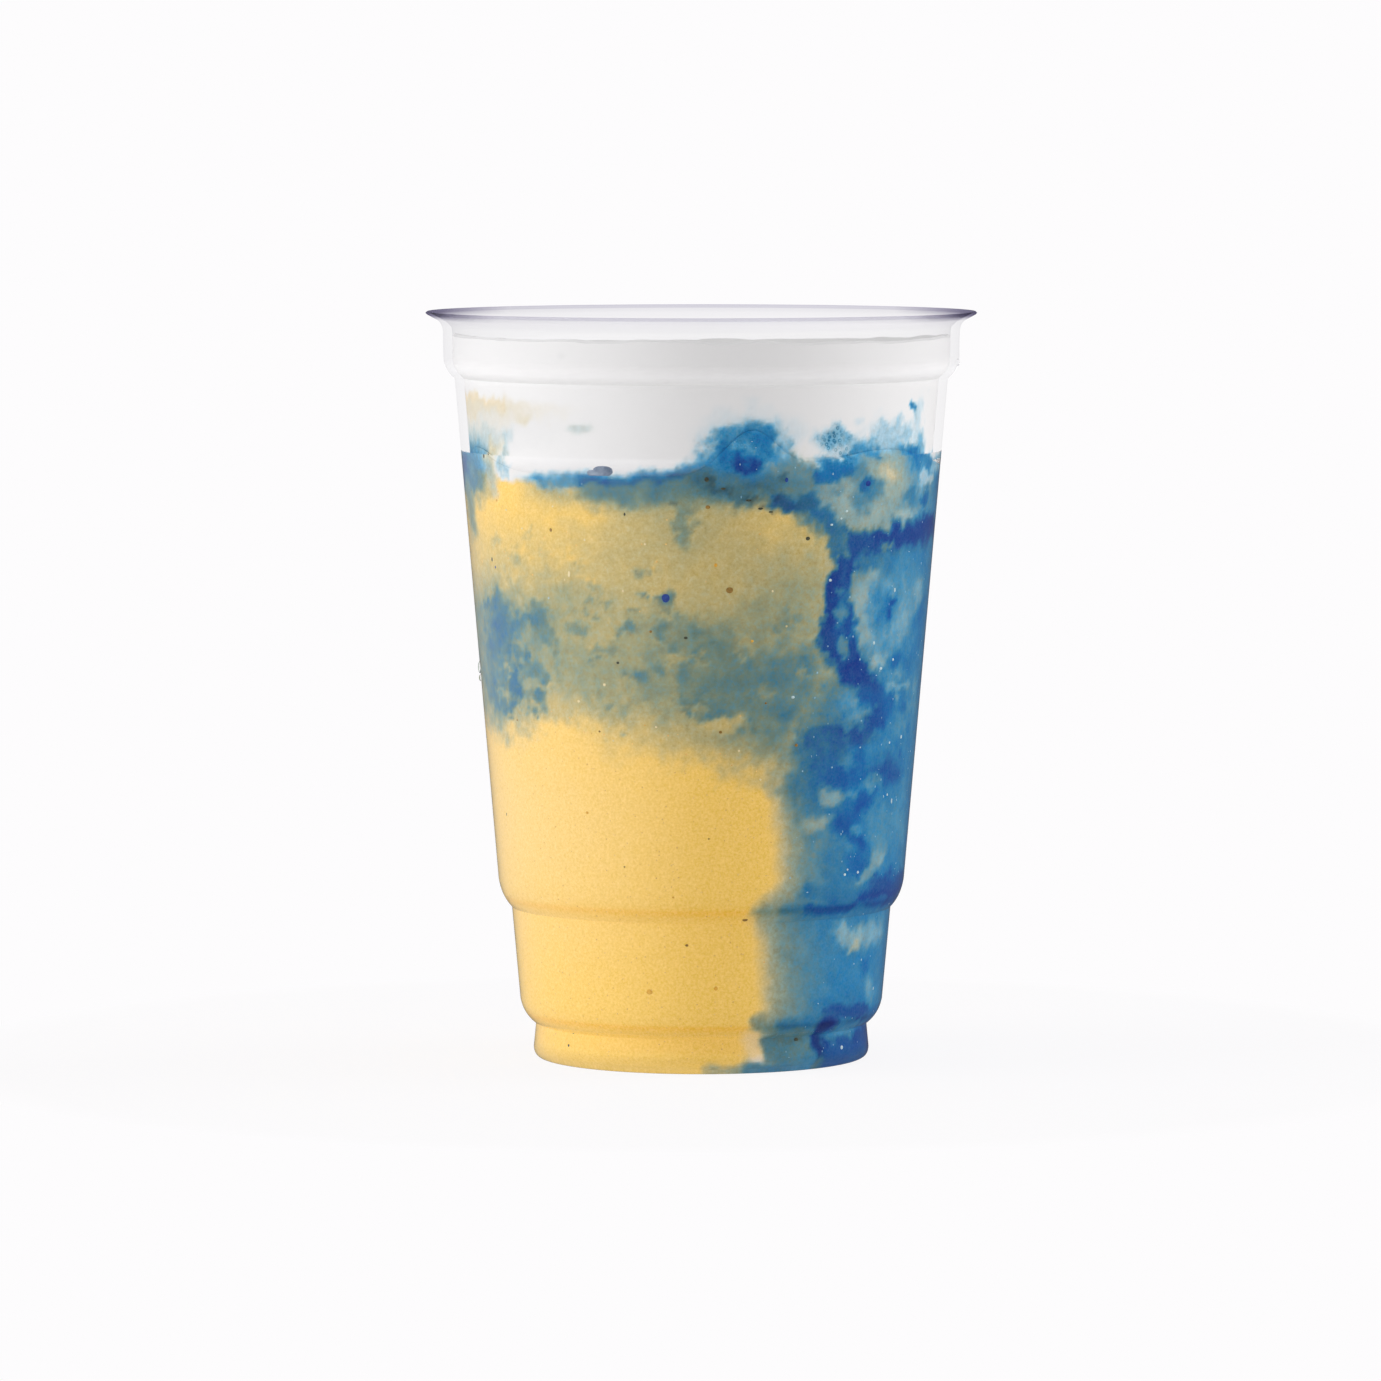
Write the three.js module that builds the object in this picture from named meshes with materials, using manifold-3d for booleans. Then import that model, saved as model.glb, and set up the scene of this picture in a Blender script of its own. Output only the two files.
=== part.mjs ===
// A clear plastic take-away cup of blue spirulina smoothie, filled almost to the rim. Mango smoothie
// fills most of it, blue spirulina runs down the right-hand side and on in a thin sheet under the
// cream, and white cream lies on top. Millimetres, +Z up, the front of the cup faces -Y, and the
// origin is the middle of the foot, on the surface that the cup stands on.
import * as THREE from 'three';
import { mergeVertices } from 'three/addons/utils/BufferGeometryUtils.js';
import Module from 'manifold-3d';

const wasm = await Module();
wasm.setup();

// Fineness of the solids
const SEGMENTS = 48;
const CURVE_STEPS = 3;

// Cup: outer radii and heights, from the foot up
const FOOT = { standInner: 22.5, standOuter: 27.2, corner: 1.9, radius: 29.0, topRadius: 28.6, top: 6.0 };
const PUSH_UP = { radius: 21.0, height: 1.0 };
const LOWER_WALL = { bottom: 10.2, bottomRadius: 31.3, top: 26.2, topRadius: 32.75 };
const UPPER_WALL = { bottom: 31.1, bottomRadius: 35.05, top: 117.5, topRadius: 42.5 };
const COLLAR = { bottom: 121.1, bottomRadius: 44.45, top: 125.5, topRadius: 44.5 };
const RIM = { radius: 47.5, height: 129.0, edge: 0.5, neck: 45.6, neckHeight: 127.6 };

// Corners that the two ledges and the stacking step are rounded towards
const LOWER_LEDGE_CORNER = { radius: 30.75, height: 7.5 };
const UPPER_LEDGE_CORNER = { radius: 34.6, height: 28.1 };
const STEP_CORNER = { radius: 44.3, height: 118.9 };
const NECK_CORNER = { radius: 44.6, height: 127.0 };

// Cup: how thick the plastic is
const FLOOR_THICKNESS = 1.2;
const WALL_AT_FOOT = 1.0;
const WALL_AT_COLLAR = 1.6;
const INNER_CORNER = 2.4;
const LIP = { radius: 45.35, height: 128.05, bottomHeight: 126.4 };

// Drink: its clearance to the cup and between its layers, and the level of the cream
const CLEARANCE = 0.32;
const CREAM_LEVEL = 125.6;
const CREAM_DISH = 2.1;
const CREAM_DISH_POWER = 6;
const CREAM_SHOULDER = 0.4;
const TOP_RINGS = 4;

// Lower face of the cream: its level, and where round the wall it bulges up, in degrees from the front
const CREAM_FLOOR = 102.3;
const CREAM_BULGES = [
  { at: -72, width: 15, rise: 4.2 },
  { at: 12, width: 9, rise: 8.0 },
  { at: 50, width: 26, rise: 4.4 },
  { at: 140, width: 22, rise: 5.5 },
  { at: -140, width: 24, rise: 3.5 },
];

// Upper face of the mango: its level, its fall towards the blue side, and its dips at the wall
const MANGO_LEVEL = 100.2;
const MANGO_FALL = { from: -3, to: 25, depth: 8.0 };
const MANGO_DIPS = [
  { at: -82, width: 13, rise: -6.0 },
  { at: 180, width: 24, rise: -4.0 },
];

// Edge between mango and blue: how far right of the axis it stands at each height
const EDGE_AT_FRONT = [
  { at: 0, x: 10.6 },
  { at: 7, x: 9.6 },
  { at: 17, x: 12.2 },
  { at: 28, x: 9.8 },
  { at: 37, x: 14.0 },
  { at: 48, x: 13.4 },
  { at: 58, x: 17.0 },
  { at: 80, x: 21.5 },
  { at: 100, x: 23.0 },
];
const EDGE_AT_BACK = [
  { at: 0, x: 12.5 },
  { at: 22, x: 15.5 },
  { at: 45, x: 10.5 },
  { at: 72, x: 18.5 },
  { at: 100, x: 15.0 },
];

// Blocks that the layers are cut with: their reach past the cup, and their grids
const REACH = 50;
const LEVEL_GRID = 18;
const EDGE_GRID = { across: 6, up: 18 };

// Points round a corner, from one end up to but not including the other.
function roundedTo(start, corner, end) {
  const curve = new THREE.QuadraticBezierCurve(
    new THREE.Vector2(...start),
    new THREE.Vector2(corner.radius, corner.height),
    new THREE.Vector2(...end),
  );
  return curve.getPoints(CURVE_STEPS).slice(0, -1);
}

// Outer face of the wall, from the top of the foot to the neck.
function wallPoints() {
  return [
    new THREE.Vector2(FOOT.radius, FOOT.corner),
    ...roundedTo([FOOT.topRadius, FOOT.top], LOWER_LEDGE_CORNER, [LOWER_WALL.bottomRadius, LOWER_WALL.bottom]),
    new THREE.Vector2(LOWER_WALL.bottomRadius, LOWER_WALL.bottom),
    ...roundedTo(
      [LOWER_WALL.topRadius, LOWER_WALL.top], UPPER_LEDGE_CORNER, [UPPER_WALL.bottomRadius, UPPER_WALL.bottom],
    ),
    new THREE.Vector2(UPPER_WALL.bottomRadius, UPPER_WALL.bottom),
    ...roundedTo([UPPER_WALL.topRadius, UPPER_WALL.top], STEP_CORNER, [COLLAR.bottomRadius, COLLAR.bottom]),
    new THREE.Vector2(COLLAR.bottomRadius, COLLAR.bottom),
    new THREE.Vector2(COLLAR.topRadius, COLLAR.top),
  ];
}

// Thickness of the wall at a height: it grows from the foot to the collar.
function wallThickness(z) {
  return THREE.MathUtils.mapLinear(z, 0, COLLAR.top, WALL_AT_FOOT, WALL_AT_COLLAR);
}

// Inner face of the wall, from the floor's corner up, taken in by a clearance for what it holds.
function innerPoints(clearance) {
  const wall = wallPoints().map((p) => new THREE.Vector2(p.x - wallThickness(p.y) - clearance, p.y));
  const floor = FLOOR_THICKNESS + clearance;
  const side = wall[0].x;
  const corner = { radius: side, height: floor };
  wall[0].y = floor + INNER_CORNER;
  return [
    new THREE.Vector2(0, floor + PUSH_UP.height),
    new THREE.Vector2(PUSH_UP.radius, floor + PUSH_UP.height),
    new THREE.Vector2(FOOT.standInner, floor),
    ...roundedTo([side - INNER_CORNER, floor], corner, [side, wall[0].y]),
    ...wall,
  ];
}

function cupGeometry() {
  const foot = { radius: FOOT.radius, height: 0 };
  const outer = [
    new THREE.Vector2(0, PUSH_UP.height),
    new THREE.Vector2(PUSH_UP.radius, PUSH_UP.height),
    new THREE.Vector2(FOOT.standInner, 0),
    ...roundedTo([FOOT.standOuter, 0], foot, [FOOT.radius, FOOT.corner]),
    ...wallPoints().slice(0, -1),
    ...roundedTo([COLLAR.topRadius, COLLAR.top], NECK_CORNER, [RIM.neck, RIM.neckHeight]),
    new THREE.Vector2(RIM.neck, RIM.neckHeight),
    new THREE.Vector2(RIM.radius - RIM.edge / 2, RIM.height - RIM.edge),
    new THREE.Vector2(RIM.radius, RIM.height - RIM.edge / 2),
    new THREE.Vector2(RIM.radius - RIM.edge / 2, RIM.height),
  ];
  const inner = innerPoints(0);
  const lip = [
    new THREE.Vector2(LIP.radius, LIP.height),
    new THREE.Vector2(inner.at(-1).x, LIP.bottomHeight),
  ];
  return new THREE.LatheGeometry([...outer, ...lip, ...inner.reverse()], SEGMENTS);
}

// Turns a lathe, which three.js makes round Y, to stand on +Z with its seam at the back.
function stoodUp(geometry) {
  return geometry.rotateX(Math.PI / 2);
}

// Shortest way round from one angle to another, in degrees.
function turnFrom(from, to) {
  return THREE.MathUtils.euclideanModulo(to - from + 180, 360) - 180;
}

// Sum of the bulges at a place, fading from the wall to nothing on the axis.
function bulgesAt(bulges, x, y) {
  const angle = THREE.MathUtils.radToDeg(Math.atan2(x, -y));
  const share = Math.min(1, Math.hypot(x, y) / UPPER_WALL.topRadius) ** 2;
  const rises = bulges.map(({ at, width, rise }) => rise * Math.exp(-((turnFrom(at, angle) / width) ** 2)));
  return share * rises.reduce((sum, rise) => sum + rise, 0);
}

function creamFloor(x, y) {
  return CREAM_FLOOR + bulgesAt(CREAM_BULGES, x, y);
}

function mangoTop(x, y) {
  const fall = MANGO_FALL.depth * THREE.MathUtils.smoothstep(x, MANGO_FALL.from, MANGO_FALL.to);
  return MANGO_LEVEL - fall + bulgesAt(MANGO_DIPS, x, y);
}

// Eases through a list of places by height.
function edgeAt(places, z) {
  const next = Math.max(1, places.findIndex((place) => place.at > z));
  const last = z >= places.at(-1).at ? places.length - 1 : next;
  const [low, high] = [places[last - 1], places[last]];
  return THREE.MathUtils.lerp(low.x, high.x, THREE.MathUtils.smoothstep(z, low.at, high.at));
}

function blueEdge(y, z) {
  const towardsBack = THREE.MathUtils.smoothstep(y, -UPPER_WALL.bottomRadius, UPPER_WALL.bottomRadius);
  return THREE.MathUtils.lerp(edgeAt(EDGE_AT_FRONT, z), edgeAt(EDGE_AT_BACK, z), towardsBack);
}

// Turns a closed geometry into a solid that can be cut.
function solidOf(geometry) {
  const bare = geometry.clone();
  bare.deleteAttribute('normal');
  bare.deleteAttribute('uv');
  const merged = mergeVertices(bare, 1e-4);
  return new wasm.Manifold(new wasm.Mesh({
    numProp: 3,
    vertProperties: new Float32Array(merged.attributes.position.array),
    triVerts: new Uint32Array(merged.index.array),
  }));
}

function geometryOf(solid) {
  const { vertProperties, triVerts } = solid.getMesh();
  const geometry = new THREE.BufferGeometry();
  geometry.setAttribute('position', new THREE.BufferAttribute(vertProperties, 3));
  geometry.setIndex(new THREE.BufferAttribute(triVerts, 1));
  geometry.computeVertexNormals();
  return geometry;
}

// Everything below a level that varies over the plan.
function below(levelAt) {
  const box = new THREE.BoxGeometry(2 * REACH, 2 * REACH, 2 * REACH, LEVEL_GRID, LEVEL_GRID, 1);
  const points = box.attributes.position;
  for (let i = 0; i < points.count; i += 1) {
    if (points.getZ(i) > 0) points.setZ(i, levelAt(points.getX(i), points.getY(i)));
  }
  return solidOf(box);
}

// Everything left of an edge that varies with depth and height.
function leftOf(edge) {
  const box = new THREE.BoxGeometry(REACH, 2 * REACH, RIM.height, 1, EDGE_GRID.across, EDGE_GRID.up);
  box.translate(-REACH / 2, 0, RIM.height / 2);
  const points = box.attributes.position;
  for (let i = 0; i < points.count; i += 1) {
    if (points.getX(i) > -REACH / 2) points.setX(i, edge(points.getY(i), points.getZ(i)));
  }
  return solidOf(box);
}

// All that the cup holds, as one solid: up the wall to the cream's level, then in over its dished top.
function fillSolid() {
  const side = innerPoints(CLEARANCE).slice(0, -1);
  const edge = side.at(-1).x;
  const top = [];
  for (let ring = TOP_RINGS; ring >= 0; ring -= 1) {
    const share = ring / TOP_RINGS;
    const radius = (edge - CREAM_SHOULDER) * Math.sqrt(share);
    const level = CREAM_LEVEL - CREAM_DISH * (1 - Math.sqrt(share) ** CREAM_DISH_POWER);
    top.push(new THREE.Vector2(radius, level));
  }
  const shoulder = new THREE.Vector2(edge, CREAM_LEVEL - CREAM_SHOULDER);
  return solidOf(stoodUp(new THREE.LatheGeometry([...side, shoulder, ...top], SEGMENTS)));
}

const fill = fillSolid();
const creamSolid = fill.subtract(below(creamFloor));
const mangoSolid = fill.intersect(below(mangoTop)).intersect(leftOf(blueEdge));
const mangoRoom = below((x, y) => mangoTop(x, y) + CLEARANCE)
  .intersect(leftOf((y, z) => blueEdge(y, z) + CLEARANCE));
const blueSolid = fill
  .intersect(below((x, y) => creamFloor(x, y) - CLEARANCE))
  .subtract(mangoRoom);

const smoothie = new THREE.Group();

function addPart(name, geometry, look) {
  const mesh = new THREE.Mesh(geometry, new THREE.MeshStandardMaterial(look));
  mesh.name = name;
  smoothie.add(mesh);
}

// Clear cup, thermoformed in one piece
addPart('cup', stoodUp(cupGeometry()), {
  color: 0xe6e6f0, roughness: 0.06, metalness: 0, transparent: true, opacity: 0.3,
});

// Thick yellow mango smoothie
addPart('mango_smoothie', geometryOf(mangoSolid), { color: 0xf3c67c, roughness: 0.4, metalness: 0 });

// Blue spirulina, down the right-hand side and under the cream
addPart('spirulina_swirl', geometryOf(blueSolid), { color: 0x2f68b0, roughness: 0.4, metalness: 0 });

// White cream, slightly dished
addPart('cream', geometryOf(creamSolid), { color: 0xefeef1, roughness: 0.55, metalness: 0 });

export default smoothie;
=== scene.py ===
import math
import random

import bmesh
import bpy
import numpy as np
from mathutils import Matrix, Vector, noise


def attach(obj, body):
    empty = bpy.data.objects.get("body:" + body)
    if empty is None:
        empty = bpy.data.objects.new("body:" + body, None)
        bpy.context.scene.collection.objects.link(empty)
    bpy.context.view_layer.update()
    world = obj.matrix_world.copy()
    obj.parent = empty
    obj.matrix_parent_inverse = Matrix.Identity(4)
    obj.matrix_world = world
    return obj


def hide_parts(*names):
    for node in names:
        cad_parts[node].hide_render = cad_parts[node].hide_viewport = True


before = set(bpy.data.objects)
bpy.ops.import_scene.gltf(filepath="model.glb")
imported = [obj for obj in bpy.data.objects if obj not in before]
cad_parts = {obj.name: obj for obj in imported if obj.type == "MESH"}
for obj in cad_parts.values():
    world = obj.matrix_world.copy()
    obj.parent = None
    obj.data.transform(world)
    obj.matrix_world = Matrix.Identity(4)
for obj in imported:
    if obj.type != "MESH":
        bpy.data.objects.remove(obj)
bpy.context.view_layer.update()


# The cup is thermoformed in one piece from clear plastic: a foot round a pushed-up base, two
# nesting ledges, a stacking step under the collar, and a thin sloping flange at the rim.
# Its profile is in millimetres, as radius and height.
MM = 0.001
CUP_FACETS = 192
CORNER_STEPS = 9
CUP_ROW = 2.5

push_up = (21.0, 1.0)
stand_inner = (22.5, 0.0)
stand_outer = (27.2, 0.0)
foot_corner = (29.0, 0.0)
foot_side = (29.0, 1.9)
foot_top = (28.6, 6.0)
lower_ledge_corner = (30.75, 7.5)
lower_wall_bottom = (31.3, 10.2)
lower_wall_top = (32.75, 26.2)
upper_ledge_corner = (34.6, 28.1)
upper_wall_bottom = (35.05, 31.1)
upper_wall_top = (42.5, 117.5)
step_corner = (44.3, 118.9)
collar_bottom = (44.45, 121.1)
collar_top = (44.5, 125.5)
neck_corner = (44.6, 127.0)
neck = (45.6, 127.6)
rim_underside = (47.25, 128.5)
rim_tip = (47.5, 128.75)
rim_top = (47.25, 129.0)
lip_top = (45.35, 128.05)
lip_bottom_height = 126.4
floor_thickness = 1.2
wall_at_foot = 1.0
wall_at_collar = 1.6
inner_corner = 2.4
pane_start = 105.0
inner_pane_lower = 1.2


def rounded(start, corner, end):
    """Points round a corner, from one end up to but not including the other."""
    points = []
    for step in range(CORNER_STEPS):
        share = step / CORNER_STEPS
        weights = ((1 - share) ** 2, 2 * share * (1 - share), share ** 2)
        pulls = list(zip(weights, (start, corner, end)))
        points.append(tuple(sum(weight * point[axis] for weight, point in pulls) for axis in (0, 1)))
    return points


def inner_wall(inset):
    """Inner face of the cup from its axis up to the collar, taken in by an inset in millimetres."""
    growth = (wall_at_collar - wall_at_foot) / collar_top[1]
    side = [(r - wall_at_foot - growth * z - inset, z) for r, z in outer_wall]
    floor = floor_thickness + inset
    radius = side[0][0]
    side[0] = (radius, floor + inner_corner)
    base = [(0.0, floor + push_up[1]), (push_up[0], floor + push_up[1]), (stand_inner[0], floor)]
    corner = rounded((radius - inner_corner, floor), (radius, floor), side[0])
    return base + corner + side


def divided(profile, longest):
    """The same profile with each stretch split so that none is longer than a given length."""
    points = [profile[0]]
    for start, end in zip(profile, profile[1:]):
        parts = max(1, math.ceil(math.dist(start, end) / longest))
        for part in range(1, parts + 1):
            share = part / parts
            points.append((start[0] + (end[0] - start[0]) * share, start[1] + (end[1] - start[1]) * share))
    return points


def turned(name, profile, facets):
    """A solid turned round the cup's axis from a profile that starts and ends on that axis."""
    points = np.array(profile) * MM
    angles = np.arange(facets) * math.tau / facets
    rings = np.stack([
        np.outer(points[1:-1, 0], np.cos(angles)),
        np.outer(points[1:-1, 0], np.sin(angles)),
        np.repeat(points[1:-1, 1:2], facets, axis=1),
    ], axis=2).reshape(-1, 3)
    poles = np.array([[0, 0, points[0, 1]], [0, 0, points[-1, 1]]])
    count = len(rings)
    column = np.arange(facets)
    beside = np.roll(column, -1)
    rows = np.arange(len(points) - 3)[:, None] * facets
    quads = np.stack([rows + column, rows + beside, rows + beside + facets, rows + column + facets], axis=2)
    last = count - facets
    bottom = np.stack([np.full(facets, count), beside, column], axis=1)
    top = np.stack([last + column, last + beside, np.full(facets, count + 1)], axis=1)
    mesh = bpy.data.meshes.new(name)
    faces = quads.reshape(-1, 4).tolist() + bottom.tolist() + top.tolist()
    mesh.from_pydata(np.vstack([rings, poles]).tolist(), [], faces)
    return stood(name, mesh)


def stood(name, mesh, sharp=35):
    """Puts a mesh in the scene as an object, smooth but for its corners."""
    mesh.polygons.foreach_set("use_smooth", np.ones(len(mesh.polygons), dtype=bool))
    mesh.set_sharp_from_angle(angle=math.radians(sharp))
    made = bpy.data.objects.new(name, mesh)
    bpy.context.scene.collection.objects.link(made)
    return made


class Wire:
    """One output in a node tree. Sums and products of wires add their own Math nodes."""

    def __init__(self, tree, socket=None):
        self.tree = tree
        self.socket = socket

    def node(self, kind, settings=None, sockets=None, output=0):
        """Adds a node: first its settings, then a value or a wire for each of its sockets."""
        made = self.tree.nodes.new(kind)
        for key, value in (settings or {}).items():
            if key == "stops":
                self.stops(made.color_ramp, value)
            else:
                setattr(made, key, value)
        for key, value in (sockets or {}).items():
            into = next(s for s in made.inputs if key in (s.identifier, s.name) and s.enabled)
            if isinstance(value, Wire):
                self.tree.links.new(value.socket, into)
            else:
                into.default_value = value
        if isinstance(output, str):
            output = next(i for i, s in enumerate(made.outputs) if output in (s.identifier, s.name))
        return Wire(self.tree, made.outputs[output] if made.outputs else None)

    def beside(self, output):
        """Another output of the node that this wire comes from."""
        return Wire(self.tree, next(s for s in self.socket.node.outputs if s.name == output))

    def stops(self, ramp, stops):
        """Sets a colour ramp's stops, each a place from 0 to 1 and a colour."""
        while len(ramp.elements) < len(stops):
            ramp.elements.new(1.0)
        for element, (place, colour) in zip(ramp.elements, stops):
            element.position = place
            element.color = (*colour, 1.0)

    def maths(self, operation, *values):
        """A Math node on one or two wires or numbers."""
        sockets = dict(zip(("Value", "Value_001"), values))
        return self.node("ShaderNodeMath", {"operation": operation}, sockets)

    def within(self, low=0.0, high=1.0):
        """This wire, kept between two numbers."""
        return self.node("ShaderNodeClamp", None, {"Value": self, "Min": low, "Max": high})

    def absolute(self):
        """This wire without its sign."""
        return self.maths("ABSOLUTE", self)

    def ramp(self, stops):
        """This wire as a colour, by a row of stops."""
        return self.node("ShaderNodeValToRGB", {"stops": stops}, {"Fac": self})

    def mixed(self, start, end):
        """Colour between two colours, by this wire."""
        sockets = {"Factor_Float": self, "A_Color": start, "B_Color": end}
        return self.node("ShaderNodeMix", {"data_type": "RGBA"}, sockets, "Result_Color")

    def blended(self, start, end):
        """Shader between two shaders, by this wire."""
        return self.node("ShaderNodeMixShader", None, {"Fac": self, "Shader": start, "Shader_001": end})

    def __add__(self, other):
        return self.maths("ADD", self, other)

    def __radd__(self, other):
        return self.maths("ADD", other, self)

    def __sub__(self, other):
        return self.maths("SUBTRACT", self, other)

    def __rsub__(self, other):
        return self.maths("SUBTRACT", other, self)

    def __mul__(self, other):
        return self.maths("MULTIPLY", self, other)

    def __rmul__(self, other):
        return self.maths("MULTIPLY", other, self)


def paint(red, green, blue):
    """A screen colour, 0 to 255, as the linear colour that a socket takes."""
    shares = (red / 255, green / 255, blue / 255)
    return tuple(s / 12.92 if s < 0.04045 else ((s + 0.055) / 1.055) ** 2.4 for s in shares)


def blank(name):
    """An empty material, and a wire with the place of each point on its piece."""
    material = bpy.data.materials.new(name)
    material.use_nodes = True
    material.node_tree.nodes.clear()
    return material, Wire(material.node_tree).node("ShaderNodeTexCoord", output="Object")


def finished(material, surface):
    """Gives a material its surface, and hands it back."""
    surface.node("ShaderNodeOutputMaterial", None, {"Surface": surface})
    return material


def noise_at(place, size, detail, roughness):
    """Soft noise from 0 to 1 whose lumps are about a size in millimetres across."""
    sockets = {"Vector": place, "Scale": 1 / (size * MM), "Detail": detail, "Roughness": roughness}
    return place.node("ShaderNodeTexNoise", None, sockets, "Fac")


def bumped(height, strength, depth):
    """A surface's normals, turned as by a height of up to a depth in millimetres."""
    sockets = {"Strength": strength, "Distance": depth * MM, "Height": height}
    return height.node("ShaderNodeBump", None, sockets)


def bending(place, tint, ior, ripple_size, ripple_depth):
    """Clear stuff that bends what is seen through it, with faint ripples in its surface."""
    ripple = noise_at(place, ripple_size, 2.0, 0.4)
    smear = noise_at(place, ripple_size * 1.7, 3.0, 0.6)
    return place.node("ShaderNodeBsdfPrincipled", None, {
        "Base Color": smear.mixed((*tint, 1.0), (1.0, 1.0, 1.0, 1.0)),
        "Roughness": 0.012 + 0.03 * smear,
        "Normal": bumped(ripple, 0.5, ripple_depth),
        "IOR": ior,
        "Transmission Weight": 1.0,
    })


def clear(place, red, green, blue):
    """Thin clear stuff that only takes some of the light that falls through it."""
    return place.node("ShaderNodeBsdfTransparent", None, {"Color": (red, green, blue, 1.0)})


def rise_past(along, start, steepness):
    """0 up to a start in millimetres along an axis, and from there a steep rise to 1."""
    return ((along - start * MM) * steepness).within()


def cup_plastic():
    """Clear plastic: a thick wall where the drink wets it, and above that a thin, shiny pane.
    The pane is faintly lavender at the rim, partly a painted reflection. A dark line along the
    rim's edge and dark ends of the rim at left and right are painted reflections, and a little
    white along the step is a painted highlight. Its inner face changes over lower than its outer face."""
    material, place = blank("clear plastic")
    across = place.node("ShaderNodeSeparateXYZ", None, {"Vector": place}, "X")
    deep = across.beside("Y")
    height = across.beside("Z")
    radius = across.maths("SQRT", across * across + deep * deep)
    inside = place.node("ShaderNodeNewGeometry", output="Backfacing")
    above_drink = rise_past(height + inside * (inner_pane_lower * MM), pane_start, 4000.0)
    at_collar = ((height - 0.1165) * 250.0).within(0.25, 1.0)
    at_step = (1 - (height - 0.1190).absolute() * 480.0).within()
    at_neck = rise_past(height, 126.2, 900.0)
    at_rim = rise_past(height, neck[1], 1100.0)
    at_edge = rise_past(radius, 47.0, 6000.0)
    dark_rim_ends = rise_past(across.absolute(), 34.0, 90.0) * at_rim
    facing = place.node("ShaderNodeLayerWeight", None, {"Blend": 0.5}, "Facing")
    edge_on = facing * facing * facing
    smear = noise_at(place, 9.0, 3.0, 0.6)
    pane = at_neck.blended(clear(place, 0.990, 0.990, 0.991), clear(place, 0.972, 0.970, 0.978))
    # The rim's lavender is partly the plastic's tint and partly a painted reflection.
    pane = at_rim.blended(pane, clear(place, 0.948, 0.945, 0.962))
    # Painted reflection: a dark line along the rim's outer edge.
    pane = at_edge.blended(pane, clear(place, 0.80, 0.79, 0.85))
    pane = (edge_on * at_collar * 0.06).blended(pane, clear(place, 0.50, 0.48, 0.58))
    # Painted reflection: the rim is made dark at its ends, left and right.
    pane = (dark_rim_ends * (edge_on * 0.5 + 0.30)).blended(pane, clear(place, 0.22, 0.19, 0.36))
    # Painted highlight: a little white along the step.
    step_highlight = place.node("ShaderNodeBsdfDiffuse", None, {"Color": (0.98, 0.98, 0.985, 1.0)})
    pane = (at_step * (0.12 + 0.08 * smear)).blended(pane, step_highlight)
    shine = place.node("ShaderNodeBsdfGlossy", None, {"Roughness": 0.02 + 0.06 * smear})
    pane = (0.025 + edge_on * (0.03 + 0.22 * at_rim)).blended(pane, shine)
    # A ray that leaves the wet wall at a slant would be caught in it and come out black.
    steep_exit = inside * ((edge_on - 0.024) * 100.0).within()
    unbent = 1 - (1 - above_drink) * (1 - steep_exit)
    wall = unbent.blended(bending(place, (0.985, 0.984, 0.988), 1.47, 14.0, 0.25), pane)
    in_shadow = place.node("ShaderNodeLightPath", output="Is Shadow Ray")
    return finished(material, in_shadow.blended(wall, clear(place, 0.97, 0.97, 0.975)))


outer_wall = [
    foot_side,
    *rounded(foot_top, lower_ledge_corner, lower_wall_bottom), lower_wall_bottom,
    *rounded(lower_wall_top, upper_ledge_corner, upper_wall_bottom), upper_wall_bottom,
    *rounded(upper_wall_top, step_corner, collar_bottom), collar_bottom,
    collar_top,
]
cup_inside = inner_wall(0.0)
cup_outside = [
    (0, push_up[1]), push_up, stand_inner,
    *rounded(stand_outer, foot_corner, foot_side),
    *outer_wall[:-1],
    *rounded(collar_top, neck_corner, neck), neck,
    rim_underside, rim_tip, rim_top,
]
lip_corner = (cup_inside[-1][0] + 0.3, lip_bottom_height + 0.5)
cup_lip = rounded(lip_top, lip_corner, (cup_inside[-1][0], lip_bottom_height - 0.4))
cup_profile = divided(cup_outside + cup_lip + cup_inside[::-1], CUP_ROW)

cup = turned("clear_cup", cup_profile, CUP_FACETS)
cup.data.materials.append(cup_plastic())
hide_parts("cup")
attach(cup, "root")


# The mango smoothie is poured in first and fills most of the cup. It wets the wall, so it is
# turned to the wall's inner face and a little into it, then cut along the blue side and its top.
# Its marbling runs on without a break over the blue and the cream. It is painted in strokes, in
# degrees from the front and in millimetres up, counted from just above the standing ring.
DRINK_FACETS = 480
DRINK_ROW = 0.55
INTO_WALL = 0.15
COUNTED_FROM = 0.9
REACH = 50.0

cream_level = 125.6
cream_dish = 2.1
cream_shoulder = 0.4
cream_floor_level = 102.3
cream_bulges = [(-72, 15, 4.2), (12, 9, 8.0), (50, 26, 4.4), (140, 22, 5.5), (-140, 24, 3.5)]
mango_level = 100.2
mango_fall = (-3.0, 25.0, 8.0)
mango_dips = [(-82, 13, -6.0), (180, 24, -4.0)]
edge_at_front = [
    (0, 10.6), (7, 9.6), (17, 12.2), (28, 9.8), (37, 14), (48, 13.4), (58, 17), (80, 21.5), (100, 23),
]
edge_at_back = [(0, 12.5), (22, 15.5), (45, 10.5), (72, 18.5), (100, 15)]


def eased(value, low, high):
    """0 below low, 1 above high, and a smooth rise between them."""
    share = np.clip((value - low) / (high - low), 0.0, 1.0)
    return share * share * (3 - 2 * share)


def bulges_at(bulges, x, y):
    """Sum of the bulges at a place in plan, fading from the wall to nothing on the axis."""
    turn = np.degrees(np.arctan2(x, -y))
    share = np.minimum(1.0, np.hypot(x, y) / upper_wall_top[0]) ** 2
    rise = sum(high * np.exp(-(((turn - at + 180) % 360 - 180) / width) ** 2) for at, width, high in bulges)
    return share * rise


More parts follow.
